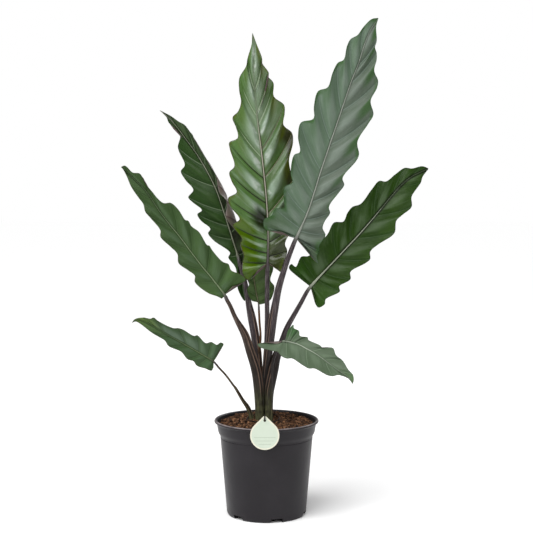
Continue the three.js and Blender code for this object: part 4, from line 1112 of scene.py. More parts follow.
def tag_face(settings):
    """Card: a pale face with a border, and three blank ruled lines to write on."""
    finish = Finish("tag_card", 0.45)
    rise = finish.rise
    x, _, z = finish.axes()
    x = finish.math("SUBTRACT", x, TAG_CENTRE[0])
    z = finish.math("SUBTRACT", z, TAG_CENTRE[1])
    across = finish.math("ABSOLUTE", x)
    corner = finish.times(finish.math("ADD", across, z), math.sqrt(0.5))
    in_corner = finish.math("GREATER_THAN", z, across)
    in_round = finish.math("SUBTRACT", 1.0, in_corner)
    reach = finish.math("ADD", finish.times(in_corner, corner), finish.times(in_round, finish.length(x, z)))
    inside = TAG_RADIUS - settings.border_width
    cloud = finish.noise(120.0, 3.0)
    finish.colour = tuple(settings.face)
    finish.cover(srgb(216, 230, 208), rise(cloud, 0.3, 0.75, 0.0, 0.35))
    finish.cover(tuple(settings.border), rise(reach, inside - 0.0002, inside + 0.0002))
    ruled = 0.0
    for height in RULED_HEIGHTS:
        gap = finish.math("ABSOLUTE", finish.math("SUBTRACT", z, height))
        line = rise(gap, RULED_HALF + 0.00008, RULED_HALF - 0.00008)
        ruled = finish.math("MAXIMUM", ruled, line)
    ends = inside - RULED_INSET
    ruled = finish.times(ruled, rise(reach, ends + 0.0003, ends - 0.0003), 0.65)
    finish.cover(srgb(120, 142, 112), ruled)
    finish.bump(finish.noise(1400.0, 2.0), 0.00003)
    return finish.painted()


def tie_face():
    """The tie's near-black plastic."""
    finish = Finish("tie_plastic", 0.6, 0.15)
    finish.colour = srgb(18, 14, 12)
    finish.cover(srgb(34, 28, 25), finish.rise(finish.noise(200.0, 2.0), 0.3, 0.7))
    finish.bump(finish.noise(1500.0, 2.0), 0.00003)
    return finish.painted()


MADE = {}


def shared(name, make):
    """The material of that name, made on its first use."""
    if name not in MADE:
        MADE[name] = make()
    return MADE[name]


def seen_rib(leaf):
    """The midrib as seen, run on backwards past the base: x, z and depth by its share u of the length."""
    controls = np.array(leaf["rib"])
    places = spline(controls, np.linspace(0, len(controls) - 1, RIB_POINTS))
    steps = np.linalg.norm(np.diff(places[:, :2], axis=0), axis=1)
    run = np.concatenate([[0], np.cumsum(steps)])
    u = run / run[-1]
    back = RIB_BACK / u[1]
    behind = places[0] - (places[1] - places[0]) * back
    return {"places": np.vstack([behind, places]), "u": np.concatenate([[-RIB_BACK], u])}


def beside_rib(rib, x, z):
    """Where seen points lie beside the midrib: u along it, the reach to its right, and the place on it."""
    shape = np.shape(x)
    x = np.ravel(x)
    z = np.ravel(z)
    start = rib["places"][:-1]
    step = np.diff(rib["places"], axis=0)
    square = np.sum(step[:, :2] ** 2, axis=1)
    dx = x[:, None] - start[:, 0]
    dz = z[:, None] - start[:, 1]
    share = np.clip((dx * step[:, 0] + dz * step[:, 1]) / square, 0, 1)
    away = np.hypot(dx - share * step[:, 0], dz - share * step[:, 1])
    best = np.argmin(away, axis=1)
    row = np.arange(len(x))
    share = share[row, best]
    step = step[best]
    length = np.sqrt(square[best])
    right = np.stack([step[:, 1], -step[:, 0]], axis=1) / length[:, None]
    sign = np.sign((dx[row, best] * step[:, 1] - dz[row, best] * step[:, 0]) / length)
    place = start[best] + step * share[:, None]
    u = rib["u"][best] + (rib["u"][best + 1] - rib["u"][best]) * share
    return {
        "u": u.reshape(shape),
        "side": (sign * away[row, best]).reshape(shape),
        "place": place.reshape(*shape, 3),
        "right": right.reshape(*shape, 2),
    }


def vein_root(u):
    """Where on the midrib the vein starts that ends beside it at u."""
    inside = np.clip(u, 0, 1)
    return inside * (1 - VEIN_ADVANCE * np.sqrt(1 - inside))


def margin_of(leaf, key):
    """One margin's points as (x, z, vein), and on to the tip."""
    margin = np.array(leaf[key], float)
    tip = leaf["rib"][-1]
    return np.vstack([margin, [tip[0], tip[1], margin[-1, 2] + TIP_VEINS]])


def column_veins(margin, count):
    """Vein numbers of the mesh columns: evenly spaced, and closer on both sides of each vein."""
    first = margin[0, 2]
    last = margin[-1, 2] - TIP_CUT
    even = np.arange(first, last, 1 / count)
    whole = np.arange(math.ceil(first), math.floor(last) + 1)
    close = (whole[:, None] + np.array(VEIN_COLUMNS)).ravel()
    even = even[np.min(np.abs(even[:, None] - close), axis=1) > COLUMN_GAP]
    return np.unique(np.clip(np.concatenate([even, close, [first, last]]), first, last))


def line_distance(x, z, line_x, line_z):
    """Distance from seen points to a line of short straight pieces."""
    best = np.full(np.shape(x), np.inf)
    for index in range(len(line_x) - 1):
        step_x = line_x[index + 1] - line_x[index]
        step_z = line_z[index + 1] - line_z[index]
        square = max(step_x**2 + step_z**2, 1e-12)
        dx = x - line_x[index]
        dz = z - line_z[index]
        share = np.clip((dx * step_x + dz * step_z) / square, 0, 1)
        best = np.minimum(best, np.hypot(dx - share * step_x, dz - share * step_z))
    return best


def half_blade(leaf, looks, rib, key, settings):
    """The mesh of one half of a blade: its middle surface as a grid of points, and what its finish reads."""
    sign = 1 if key == "right" else -1
    margin = margin_of(leaf, key)
    veins = column_veins(margin, settings.columns)
    params = np.interp(veins, margin[:, 2], np.arange(len(margin)))
    outer = spline(margin[:, :2], params)
    roots = np.maximum.accumulate(vein_root(beside_rib(rib, margin[:, 0], margin[:, 1])["u"]))
    roots[-1] = 1.0
    root = np.interp(params, np.arange(len(margin)), roots)
    start = np.stack([np.interp(root, rib["u"], rib["places"][:, axis]) for axis in (0, 1)], axis=1)
    share = 1 - (1 - np.linspace(0, 1, settings.rows)) ** ROW_POWER
    span = outer - start
    bow = (VEIN_BOW * 4 * sign) * share * (1 - share) * smooth(veins, -1, 1)[:, None]
    x = start[:, :1] + span[:, :1] * share + span[:, 1:] * bow
    z = start[:, 1:] + span[:, 1:] * share - span[:, :1] * bow
    at = beside_rib(rib, x, z)
    reach = np.abs(at["side"])
    side = at["side"].copy()
    depth = at["place"][..., 2] + leaf["turn"] * side + leaf["fold"] * reach
    if key == "right" and "curl" in leaf:
        place = np.clip(at["u"], 0, 1) * (len(leaf["curl"]) - 1)
        radius = np.interp(place, np.arange(len(leaf["curl"])), leaf["curl"])
        side = np.sign(side) * radius * np.sin(reach / radius)
        depth = depth - radius * (1 - np.cos(reach / radius))
    ripple = np.cos(math.tau * veins)[:, None] * np.ones_like(share)
    to_tip = np.minimum(1, (1 - at["u"]) / TIP_CALM)
    depth = depth + leaf["wave"] * share * ripple * to_tip
    pillow = smooth(share, 0.0, PUFF_SHARES[0]) * (1 - smooth(share, PUFF_SHARES[1], 1.0))
    wide = np.minimum(1, np.linalg.norm(span, axis=1)[:, None] / PUFF_SPAN)
    depth = depth - looks["puff"] * smooth(0.5 - 0.5 * ripple, -0.15, 1.0) * pillow * wide * to_tip
    depth = depth + leaf.get("lobe_back", 0) * np.clip(-at["u"] / LOBE_BEND, 0, 1)
    seen = at["place"][..., :2] + at["right"] * side[..., None]
    vein_gap = np.full(x.shape, np.inf)
    for whole in np.arange(math.ceil(veins[0]), math.floor(veins[-1]) + 1):
        column = int(np.argmin(np.abs(veins - whole)))
        vein_gap = np.minimum(vein_gap, line_distance(x, z, x[column], z[column]))
    edge_gap = np.linalg.norm(span, axis=1)[:, None] * (1 - share)
    return {
        "points": in_sight(seen[..., 0], seen[..., 1], depth),
        "vein": veins[:, None] + 0 * share,
        "share": share[None, :] + 0 * veins[:, None],
        "vein_mm": 1000 * vein_gap,
        "rib_mm": 1000 * reach,
        "edge_mm": 1000 * edge_gap,
        "side": sign * np.ones_like(x),
    }


def grid_normals(points, turned):
    """Unit normals of a half blade's grid of points, on the side of its upper face."""
    along = np.gradient(points, axis=0)
    across = np.gradient(points, axis=1)
    normals = np.cross(across, along) if turned else np.cross(along, across)
    weak = np.linalg.norm(normals, axis=-1) < 1e-12
    normals[weak] = (0, -1, 0)
    return unit(normals)


def grid_faces(columns, rows, first, flip):
    """Quads of a grid of points, all turned the same way."""
    a = (first + np.arange(columns - 1)[:, None] * rows + np.arange(rows - 1)).ravel()
    quads = np.stack([a, a + 1, a + rows + 1, a + rows], axis=1)
    return quads[:, ::-1] if flip else quads


def shell(half, settings, first):
    """Points, faces, face materials and values of a thin closed body round a half blade's middle surface."""
    middle = half["points"]
    columns, rows = middle.shape[:2]
    right = half["side"][0, 0] > 0
    normals = grid_normals(middle, right)
    sunk = np.exp(-((half["vein_mm"] / (1000 * settings.groove_width)) ** 2))
    sunk = sunk * np.minimum(1, half["edge_mm"] / VEIN_FULL_MM)
    middle = middle - normals * (settings.groove * sunk)[..., None]
    thick = settings.thickness * (PANEL_THICKNESS + RIB_THICKER * np.exp(-half["rib_mm"] / RIB_THICK_MM))
    upper = middle + normals * (thick / 2)[..., None]
    lower = middle - normals * (thick / 2)[..., None]
    count = columns * rows
    faces = [grid_faces(columns, rows, first, not right), grid_faces(columns, rows, first + count, right)]
    index = first + np.arange(count).reshape(columns, rows)
    loop = np.concatenate([index[0, :-1], index[:-1, -1], index[-1, :0:-1], index[:0:-1, 0]])
    wall = np.stack([loop, np.roll(loop, -1), np.roll(loop, -1) + count, loop + count], axis=1)
    faces.append(wall[:, ::-1] if right else wall)
    kinds = np.concatenate([np.zeros(len(faces[0])), np.ones(len(faces[1])), np.zeros(len(faces[2]))])
    values = {name: np.tile(half[name].ravel(), 2) for name in half if name != "points"}
    points = np.concatenate([upper.reshape(-1, 3), lower.reshape(-1, 3)])
    return points, np.vstack(faces).tolist(), kinds, values


def leaf_line(leaf):
    """Controls and radii of the smooth line from the soil up the stalk and along the midrib to the tip."""
    stalk = np.array(leaf["stalk"])
    if not leaf.get("seated"):
        below = stalk[0] - (0, BURIED, 0, 0.1 * stalk[0, 3])
        stalk = np.vstack([below, stalk])
    rib = np.array(leaf["rib"])
    share = np.linspace(0, 1, len(rib))
    rib_radii = leaf["rib_radius"] * (1 - share) + TIP_RIDGE * share
    seen = np.vstack([stalk[:, :3], rib])
    return {
        "controls": in_sight(seen[:, 0], seen[:, 1], seen[:, 2]),
        "radii": np.concatenate([stalk[:, 3], rib_radii]),
        "neck": len(stalk) - 1,
        "base": len(stalk),
    }


def line_stations(line, first, last):
    """Params, centres, radii and directions along a leaf's line, and how far along each lies."""
    params = np.linspace(first, last, STATIONS)
    centres = spline(line["controls"], params)
    radii = np.interp(params, np.arange(len(line["radii"])), line["radii"])
    ahead = unit(np.gradient(centres, axis=0))
    run = np.concatenate([[0], np.cumsum(np.linalg.norm(np.diff(centres, axis=0), axis=1))])
    return params, centres, radii, ahead, run


def wire(centres, ahead, across, radius, sides):
    """Points and faces of a tube along centres. across is where the first of its sides faces."""
    angle = np.arange(sides) * math.tau / sides
    beside = np.cross(ahead, across)
    spokes = np.cos(angle)[:, None] * across[:, None] + np.sin(angle)[:, None] * beside[:, None]
    return tube(centres[:, None] + np.asarray(radius)[..., None] * spokes)


def tube(rings):
    """Points and faces of a closed tube through rings of points, with a point in the middle of each end."""
    steps, sides = rings.shape[:2]
    points = np.concatenate([rings.reshape(-1, 3), [rings[0].mean(axis=0)], [rings[-1].mean(axis=0)]])
    start = (np.arange(steps - 1)[:, None] * sides + np.arange(sides)).ravel()
    after = (np.arange(steps - 1)[:, None] * sides + (np.arange(sides) + 1) % sides).ravel()
    faces = [tuple(quad) for quad in np.stack([start, after, after + sides, start + sides], axis=1)]
    last = (steps - 1) * sides
    for side in range(sides):
        beyond = (side + 1) % sides
        faces.append((beyond, side, steps * sides))
        faces.append((last + side, last + beyond, steps * sides + 1))
    return points, faces


def rib_mesh(leaf, looks, first):
    """Points, faces, face materials and values of the midrib, from the neck to the tip. It is low on the
    upper face and full on the lower one."""
    line = leaf_line(leaf)
    tip = len(line["controls"]) - 1
    params, centres, radii, ahead, run = line_stations(line, line["neck"], tip - RIB_CUT)
    past_base = smooth(params, line["base"] - 0.4, line["base"] + 0.9)
    lean = unit(np.array([1.0, leaf["turn"], 0.0]))
    across = square_to(lean, ahead)
    up = unit(np.cross(across, ahead))
    up = np.where(up[:, 1:2] > 0, -up, up)
    across = np.cross(up, ahead)
    angle = np.arange(RIB_SIDES) * math.tau / RIB_SIDES
    width = radii * (1 - (1 - looks["rib_show"]) * past_base)
    top = np.maximum(radii * (1 - RIB_FLATTER * past_base), RIB_TOP)
    under = np.maximum(width, RIB_TOP)
    reach = np.where(np.sin(angle) > 0, top[:, None], under[:, None])
    flat = (width[:, None] * np.cos(angle))[..., None] * across[:, None, :]
    tall = (reach * np.sin(angle))[..., None] * up[:, None, :]
    points, faces = tube(centres[:, None, :] + flat + tall)
    upward = np.concatenate([np.tile(np.sin(angle), len(centres)), [0, 0]])
    values = {
        "along_mm": np.concatenate([np.repeat(1000 * run, RIB_SIDES), [0, 1000 * run[-1]]]),
        "around_mm": np.concatenate([(1000 * radii[:, None] * angle).ravel(), [0, 0]]),
        "height_share": upward,
    }
    kinds = [2 if upward[list(face)].mean() > 0 else 3 for face in faces]
    return points, [tuple(first + np.array(face)) for face in faces], kinds, values


def build_blade(leaf, context):
    """One blade with its veins and midrib, in place of its plain solid."""
    settings = context.scene.alocasia_blade
    stalk = context.scene.alocasia_stalk
    looks = LOOKS[leaf["name"]]
    finish = looks["finish"]
    rib = seen_rib(leaf)
    parts = []
    count = 0
    for key in ("left", "right"):
        parts.append(shell(half_blade(leaf, looks, rib, key, settings), settings, count))
        count += len(parts[-1][0])
    parts.append(rib_mesh(leaf, looks, count))
    points = np.concatenate([part[0] for part in parts])
    faces = [face for part in parts for face in part[1]]
    kinds = np.concatenate([part[2] for part in parts])
    values = {}
    for name in [*parts[0][3], *parts[-1][3]]:
        values[name] = np.concatenate([part[3].get(name, np.zeros(len(part[0]))) for part in parts])
    materials = [
        shared(f"leaf_upper_{finish}", lambda: upper_face(finish)),
        shared("leaf_lower", lambda: lower_face(settings)),
        shared(f"rib_{finish}", lambda: rib_face(stalk, finish, True)),
        shared(f"rib_lower_{finish}", lambda: rib_face(stalk, finish, False)),
    ]
    piece = make_piece(f"leaf_{leaf['name']}", points, faces, materials, kinds, values, LEAF_SLOTS[finish])
    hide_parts(f"blade_{leaf['name']}")


def build_stalk(leaf, context):
    """One stalk with its sheath's groove and edges, in place of its plain solid."""
    settings = context.scene.alocasia_stalk
    line = leaf_line(leaf)
    _, centres, radii, ahead, run = line_stations(line, 0.0, line["neck"])
    opening, low, high, stand_out = LOOKS[leaf["name"]]["sheath"]
    toward = np.array([math.cos(math.radians(opening)), math.sin(math.radians(opening)), 0.0])
    angle = np.arange(STALK_SIDES) * math.tau / STALK_SIDES
    height = centres[:, 2:]
    sheath = smooth(height, high, high - 0.3 * (high - low)) * smooth(height, low - 0.03, low + 0.02)
    apart = np.abs((angle + math.pi) % math.tau - math.pi)
    wing = np.exp(-(((apart - SHEATH_HALF) / SHEATH_EDGE) ** 2)) * sheath
    groove = smooth(apart, SHEATH_HALF - 0.05, SHEATH_HALF - 0.3) * sheath
    radius = radii[:, None] * (1 - GROOVE_SHARE * groove) + stand_out * wing
    points, faces = wire(centres, ahead, square_to(toward, ahead), radius, STALK_SIDES)
    ends = [0, 0]
    values = {
        "along_mm": np.concatenate([np.repeat(1000 * run, STALK_SIDES), ends]),
        "around_mm": np.concatenate([(1000 * radii[:, None] * np.abs(angle - math.pi)).ravel(), ends]),
        "wing": np.concatenate([wing.ravel(), ends]),
        "groove": np.concatenate([groove.ravel(), ends]),
    }
    common = ("dark", tuple(settings.colour), COMMON_STREAK)
    kind, dark, pale = OTHER_STALKS.get(leaf["name"], common)
    face = shared(f"stalk_{kind}", lambda: stalk_face(settings, kind, dark, pale))
    slot = "stalk_young" if kind == "young" else "stalk"
    piece = make_piece(f"petiole_{leaf['name']}", points, faces, [face], None, values, slot)
    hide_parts(f"stalk_{leaf['name']}")


def pot_profile(settings):
    """The pot's half section as (radius, height) from the middle of its underside round to the inside."""
    lip = settings.lip_radius - LIP_SLIM
    top = settings.height
    foot = settings.foot_radius
    wall = settings.wall
    body = foot + POT_FLARE
    groove = top - GROOVE_DROP
    step_foot = top - STEP_FOOT_DROP
    step_head = top - STEP_HEAD_DROP
    under_lip = top - LIP_DROP
    floor = BASE_RISE + FLOOR_THICKNESS
    # Each corner is (radius, height, how much it is rounded).
    corners = (
        (0.0, BASE_RISE, 0.0), (foot - 0.0105, BASE_RISE, 0.0008),
        (foot - 0.0098, 0.0, 0.0006), (foot - 0.0022, 0.0, 0.0006), (foot, 0.004, 0.002),
        (body - 0.0004, groove - 0.0008, 0.0004), (body - GROOVE_DEPTH, groove - 0.0004, 0.0002),
        (body - GROOVE_DEPTH, groove + 0.0004, 0.0002), (body - 0.0003, groove + 0.0008, 0.0004),
        (body, step_foot, 0.0012), (body + COLLAR_FLARE, step_head, 0.0024),
        (lip - 0.0046, under_lip, 0.0012), (lip - 0.0036, top - 0.0058, 0.0008),
        (lip - 0.0005, top - 0.0044, 0.0006), (lip, top - 0.0034, 0.0006), (lip, top - 0.0020, 0.0008),
        (lip - 0.0012, top - 0.0004, 0.0006), (lip - 0.003, top, 0.0008),
        (lip - 0.0054, top - 0.0016, 0.0008), (lip - 0.0084, under_lip, 0.001),
        (body + 0.001, step_head, 0.001), (body - wall, step_foot, 0.001),
        (foot - wall, floor, 0.0008), (0.0, floor, 0.0),
    )
    points = []
    for index, (radius, height, round_by) in enumerate(corners):
        here = np.array((radius, height))
        if round_by == 0.0:
            points.append(here)
            continue
        before = np.array(corners[index - 1][:2]) - here
        after = np.array(corners[index + 1][:2]) - here
        start = here + before * min(0.45, round_by / np.linalg.norm(before))
        end = here + after * min(0.45, round_by / np.linalg.norm(after))
        for share in (0.0, 0.25, 0.5, 0.75, 1.0):
            points.append((1 - share) ** 2 * start + 2 * share * (1 - share) * here + share**2 * end)
    return np.array(points)


def lathe(profile, sides):
    """Points and faces of a closed body turned from a profile with both ends on the axis, square to it."""
    angle = np.arange(sides) * math.tau / sides
    radius = profile[1:-1, :1]
    height = profile[1:-1, 1:]
    return tube(np.stack([radius * np.cos(angle), radius * np.sin(angle), height + 0 * angle], axis=-1))


def box_points(low, high, turn):
    """Points and faces of a plain box, turned about the pot's axis."""
    points = []
    for x in (low[0], high[0]):
        for y in (low[1], high[1]):
            for z in (low[2], high[2]):
                across = x * math.cos(turn) - y * math.sin(turn)
                points.append((across, x * math.sin(turn) + y * math.cos(turn), z))
    return points, [(0, 1, 3, 2), (4, 6, 7, 5), (0, 4, 5, 1), (2, 3, 7, 6), (0, 2, 6, 4), (1, 5, 7, 3)]


def bake(piece):
    """Replaces a piece's mesh by what its modifiers make of it."""
    shaped = piece.evaluated_get(bpy.context.evaluated_depsgraph_get())
    mesh = bpy.data.meshes.new_from_object(shaped)
    piece.modifiers.clear()
    piece.data = mesh


def build_pot(context):
    """The pot with its rolled lip, collar, groove and drain notches."""
    settings = context.scene.alocasia_pot
    profile = pot_profile(settings)
    points, faces = lathe(profile, POT_SIDES)
    past_lip = np.arange(len(profile)) > np.argmax(profile[:, 1])
    values = {"inward": np.concatenate([np.repeat(past_lip[1:-1], POT_SIDES), [False, True]]).astype(float)}
    pot = make_piece("nursery_pot", points, faces, [pot_face(settings)], None, values, "pot_plastic")
    low = (-NOTCH_WIDTH / 2, -NOTCH_RADII[1], -NOTCH_BELOW)
    high = (NOTCH_WIDTH / 2, -NOTCH_RADII[0], NOTCH_HEIGHT)
    cut_points = []
    cut_faces = []
    for notch in range(NOTCHES):
        box, box_faces = box_points(low, high, NOTCH_FIRST + notch * math.tau / NOTCHES)
        cut_faces.extend(tuple(len(cut_points) + index for index in face) for face in box_faces)
        cut_points.extend(box)
    cutter = make_piece("notch_cutter", cut_points, cut_faces, [])
    cut = pot.modifiers.new("notches", "BOOLEAN")
    cut.operation = "DIFFERENCE"
    cut.solver = "EXACT"
    cut.object = cutter
    bake(pot)
    pot.data.set_sharp_from_angle(angle=math.radians(32))
    bpy.data.objects.remove(cutter, do_unlink=True)
    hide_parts("pot")


def soil_height(x, y):
    """Height of the potting mix's surface, mounded round the crown, without its crumbs."""
    away = math.hypot(x - MOUND_CENTRE[0], y - MOUND_CENTRE[1])
    rise = clamped(1 - away / MOUND_RADIUS)
    mound = rise * rise * (3 - 2 * rise)
    mm_x = 1000 * x
    mm_y = 1000 * y
    lumps = math.sin(mm_x / 5.1 + 1.3 * math.sin(mm_y / 7.3))
    lumps *= math.sin(mm_y / 4.7 + 1.1 * math.sin(mm_x / 6.1))
    return SOIL_EDGE + (SOIL_MOUND - SOIL_EDGE) * mound + LUMP_HEIGHT * lumps * (1 - 0.6 * mound)


def chunk_shapes():
    """Two rough shapes for a crumb: one of 12 corners, and one with each of its faces split in four."""
    golden = (1 + math.sqrt(5)) / 2
    corners = []
    for a in (-1, 1):
        for b in (-golden, golden):
            corners += [(0, a, b), (a, b, 0), (b, 0, a)]
    corners = unit(np.array(corners, float))
    gaps = np.linalg.norm(corners[:, None] - corners[None], axis=2)
    near = gaps < EDGE_REACH
    faces = []
    for i, j, k in itertools.combinations(range(len(corners)), 3):
        if near[i, j] and near[j, k] and near[i, k]:
            outward = np.dot(np.cross(corners[j] - corners[i], corners[k] - corners[i]), corners[i]) > 0
            faces.append((i, j, k) if outward else (i, k, j))
    points = list(corners)
    middles = {}

    def middle(a, b):
        key = (min(a, b), max(a, b))
        if key not in middles:
            middles[key] = len(points)
            points.append(unit(corners[a] + corners[b]))
        return middles[key]

    split = []
    for a, b, c in faces:
        ab = middle(a, b)
        bc = middle(b, c)
        ca = middle(c, a)
        split += [(a, ab, ca), (ab, b, bc), (ca, bc, c), (ab, bc, ca)]
    return (corners, np.array(faces)), (np.array(points), np.array(split))


def scattered(draws):
    """A place drawn evenly over the soil."""
    away = (SOIL_RADIUS - 0.002) * math.sqrt(draws.random())
    turn = draws.uniform(0, math.tau)
    return away * math.cos(turn), away * math.sin(turn)


def build_soil(context):
    """The potting mix: a lumpy body, with crumbs and fibres loose on it."""
    settings = context.scene.alocasia_soil
    face = soil_face(settings)
    angle = np.arange(SOIL_SIDES) * math.tau / SOIL_SIDES
    radii = SOIL_RADIUS * np.linspace(1, 0, SOIL_RINGS + 1)[:-1]
    rows = [[(radius * math.cos(a), radius * math.sin(a), z) for a in angle] for radius, z in SOIL_SIDE]
    grain = [[0.2] * SOIL_SIDES for _ in SOIL_SIDE]
    for radius in radii:
        row = []
        shade = []
        for a in angle:
            x = radius * math.cos(a)
            y = radius * math.sin(a)
            place = Vector((x, y, 0.0))
            rough = noise.fractal(place * 150, 0.9, 2.1, 5)
            row.append((x, y, soil_height(x, y) + SOIL_ROUGHNESS * rough - 0.0006))
            shade.append(clamped(0.35 + 0.5 * noise.fractal(place * 190 + Vector((3, 1, 2)), 1.0, 2.0, 3)))
        rows.append(row)
        grain.append(shade)
    points, faces = tube(np.array(rows))
    values = {"grain": np.concatenate([np.array(grain).ravel(), [0.2, 0.3]])}
    soil = make_piece("potting_mix", points, faces, [face], None, values, "soil")
    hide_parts("soil")
    draws = random.Random(settings.seed)
    build_crumbs(settings, face, draws)
    build_fibres(settings, face, draws)


def build_crumbs(settings, face, draws):
    """Loose crumbs on the soil, as one piece."""
    small, large = chunk_shapes()
    points = []
    faces = []
    grain = []
    count = 0
    for _ in range(settings.crumbs):
        x, y = scattered(draws)
        is_large = draws.random() < LARGE_SHARE
        corners, triangles = large if is_large else small
        size = draws.uniform(*(LARGE_SIZES if is_large else SMALL_SIZES))
        stretch = np.array([draws.uniform(0.7, 1.4), draws.uniform(0.6, 1.2), draws.uniform(0.5, 1.0)])
        wobble = np.array([draws.uniform(0.62, 1.25) for _ in corners])[:, None]
        heading = Vector((draws.uniform(-1, 1), draws.uniform(-1, 1), draws.uniform(-1, 1)))
        turn = np.array(heading.to_track_quat("Z", "Y").to_matrix())
        shape = (corners * wobble * stretch * size) @ turn.T
        rise = size * draws.uniform(-0.1, 0.85)
        points.append(shape + (x, y, soil_height(x, y) + rise))
        faces.append(triangles + count)
        grain.append(np.full(len(corners), clamped(draws.gauss(0.55, 0.24))))
        count += len(corners)
    values = {"grain": np.concatenate(grain)}
    faces = np.vstack(faces).tolist()
    crumbs = make_piece("soil_crumbs", np.concatenate(points), faces, [face], None, values, "soil")
    crumbs.data.polygons.foreach_set("use_smooth", [False] * len(crumbs.data.polygons))


def build_fibres(settings, face, draws):
    """Loose fibres on the soil, as one piece."""
    points = []
    faces = []
    count = 0
    for _ in range(settings.fibres):
        x, y = scattered(draws)
        length = draws.uniform(*FIBRE_LENGTHS)
        turn = draws.uniform(0, math.tau)
        bend = draws.uniform(-0.9, 0.9)
        lift = draws.uniform(0.0, 0.5)
        centres = []
        for share in np.linspace(-0.5, 0.5, 7):
            heading = turn + bend * share
            px = x + length * share * math.cos(heading)
            py = y + length * share * math.sin(heading)
            shrink = min(1.0, (SOIL_RADIUS - 0.001) / max(math.hypot(px, py), 1e-6))
            px *= shrink
            py *= shrink
            pz = soil_height(px, py) + 0.0012 + length * lift * max(0.0, share)
            centres.append((px, py, pz + 0.0006 * draws.random()))
        centres = np.array(centres)
        ahead = unit(np.gradient(centres, axis=0))
        up = np.cross(unit(np.cross(ahead, (0, 0, 1))), ahead)
        ring_points, ring_faces = wire(centres, ahead, up, draws.uniform(*FIBRE_RADII), 4)
        points.append(ring_points)
        faces.extend(tuple(count + np.array(ring_face)) for ring_face in ring_faces)
        count += len(ring_points)
    values = {"grain": np.full(count, 0.95)}
    make_piece("soil_fibres", np.concatenate(points), faces, [face], None, values, "soil")


def build_tag(context):
    """The hang tag: a round card drawn up to a point, with a punched hole."""
    def arc(radius, up, first, last, count):
        """Points of an arc round a centre this far up, between two shares of a turn."""
        turns = np.linspace(first * math.tau, last * math.tau, count)
        return [(radius * math.cos(turn), up + radius * math.sin(turn)) for turn in turns]

    tip_centre = math.sqrt(2) * (TAG_RADIUS - TAG_TIP_ROUND)
    outline = arc(TAG_RADIUS, 0.0, 0.375, 1.125, 97) + arc(TAG_TIP_ROUND, tip_centre, 0.125, 0.375, 17)
    hole = arc(TAG_HOLE_RADIUS, TAG_HOLE_RISE, 0.0, -1.0, 33)[:-1]
    curve = bpy.data.curves.new("tag_outline", "CURVE")
    curve.dimensions = "2D"
    curve.fill_mode = "BOTH"
    curve.extrude = TAG_THICKNESS / 2 - TAG_ROUNDING
    curve.bevel_depth = TAG_ROUNDING
    curve.bevel_resolution = 2
    curve.offset = -TAG_ROUNDING
    for loop in (outline, hole):
        drawn_loop = curve.splines.new("POLY")
        drawn_loop.points.add(len(loop) - 1)
        for point, (x, z) in zip(drawn_loop.points, loop):
            point.co = (x, z, 0, 1)
        drawn_loop.use_cyclic_u = True
    drawn = bpy.data.objects.new("tag_outline", curve)
    context.scene.collection.objects.link(drawn)
    context.view_layer.update()
    flat = bpy.data.meshes.new_from_object(drawn.evaluated_get(context.evaluated_depsgraph_get()))
    places = np.empty(3 * len(flat.vertices))
    flat.vertices.foreach_get("co", places)
    across, up, out = places.reshape(-1, 3).T
    depth = TAG_BACK - TAG_THICKNESS / 2 - out
    points = np.stack([TAG_CENTRE[0] + across, depth, TAG_CENTRE[1] + up], axis=1)
    faces = [tuple(polygon.vertices) for polygon in flat.polygons]
    bpy.data.objects.remove(drawn, do_unlink=True)
    tag = make_piece("hang_tag", points, faces, [tag_face(context.scene.alocasia_tag)], slot="tag_card")
    tag.data.set_sharp_from_angle(angle=math.radians(40))
    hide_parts("tag")


def build_tie():
    """The tag's plastic tie: round the stalks on the soil, over the lip, through the hole and back."""
    def on_soil(x, y, rise):
        return x, y, soil_height(x, y) + rise

    def ring(degrees):
        angle = math.radians(degrees)
        x = TIE_CENTRE[0] + TIE_RING[0] / 2 * math.sin(angle)
        return on_soil(x, TIE_CENTRE[1] + TIE_RING[1] / 2 * math.cos(angle), TIE_RISE)

    tag_x = TAG_CENTRE[0]
    front = TAG_BACK - TAG_THICKNESS
    hole = TAG_CENTRE[1] + TAG_HOLE_RISE
    tip = TAG_CENTRE[1] + math.sqrt(2) * (TAG_RADIUS - TAG_TIP_ROUND) + TAG_TIP_ROUND
    route = [ring(degrees) for degrees in range(-3, -154, -25)]
    route += [
        on_soil(tag_x - 0.004, -0.04, TIE_RISE + 0.0012),
        (tag_x - 0.0012, -0.082, 0.1745),
        (tag_x, front + TAG_THICKNESS / 2, hole),
        (tag_x, front - 0.0016, hole + 0.003),
        (tag_x, front - 0.0016, tip - 0.0005),
        (tag_x, front + 0.0006, tip + 0.0018),
        (tag_x + 0.0012, -0.082, 0.1805),
        on_soil(tag_x + 0.003, -0.04, TIE_RISE + 0.0012),
    ]
    route += [ring(degrees) for degrees in range(153, 2, -25)]
    centres = spline(route, np.linspace(0, len(route) - 1, 300))
    ahead = unit(np.gradient(centres, axis=0))
    across = [unit(np.cross(ahead[0], (0.0, 0.0, 1.0)))]
    for heading in ahead[1:]:
        across.append(unit(across[-1] - heading * np.dot(across[-1], heading)))
    points, faces = wire(centres, ahead, np.array(across), TIE_RADIUS, 12)
    tie = make_piece("tag_loop", points, faces, [tie_face()], slot="tie_plastic")
    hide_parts("tag_tie")


def add_light(context, data, place, target):
    """Puts a light in its place, facing a point."""
    light = bpy.data.objects.new(data.name, data)
    light.location = place
    light.rotation_euler = (Vector(target) - light.location).to_track_quat("-Z", "Y").to_euler()
    context.scene.collection.objects.link(light)
    return light


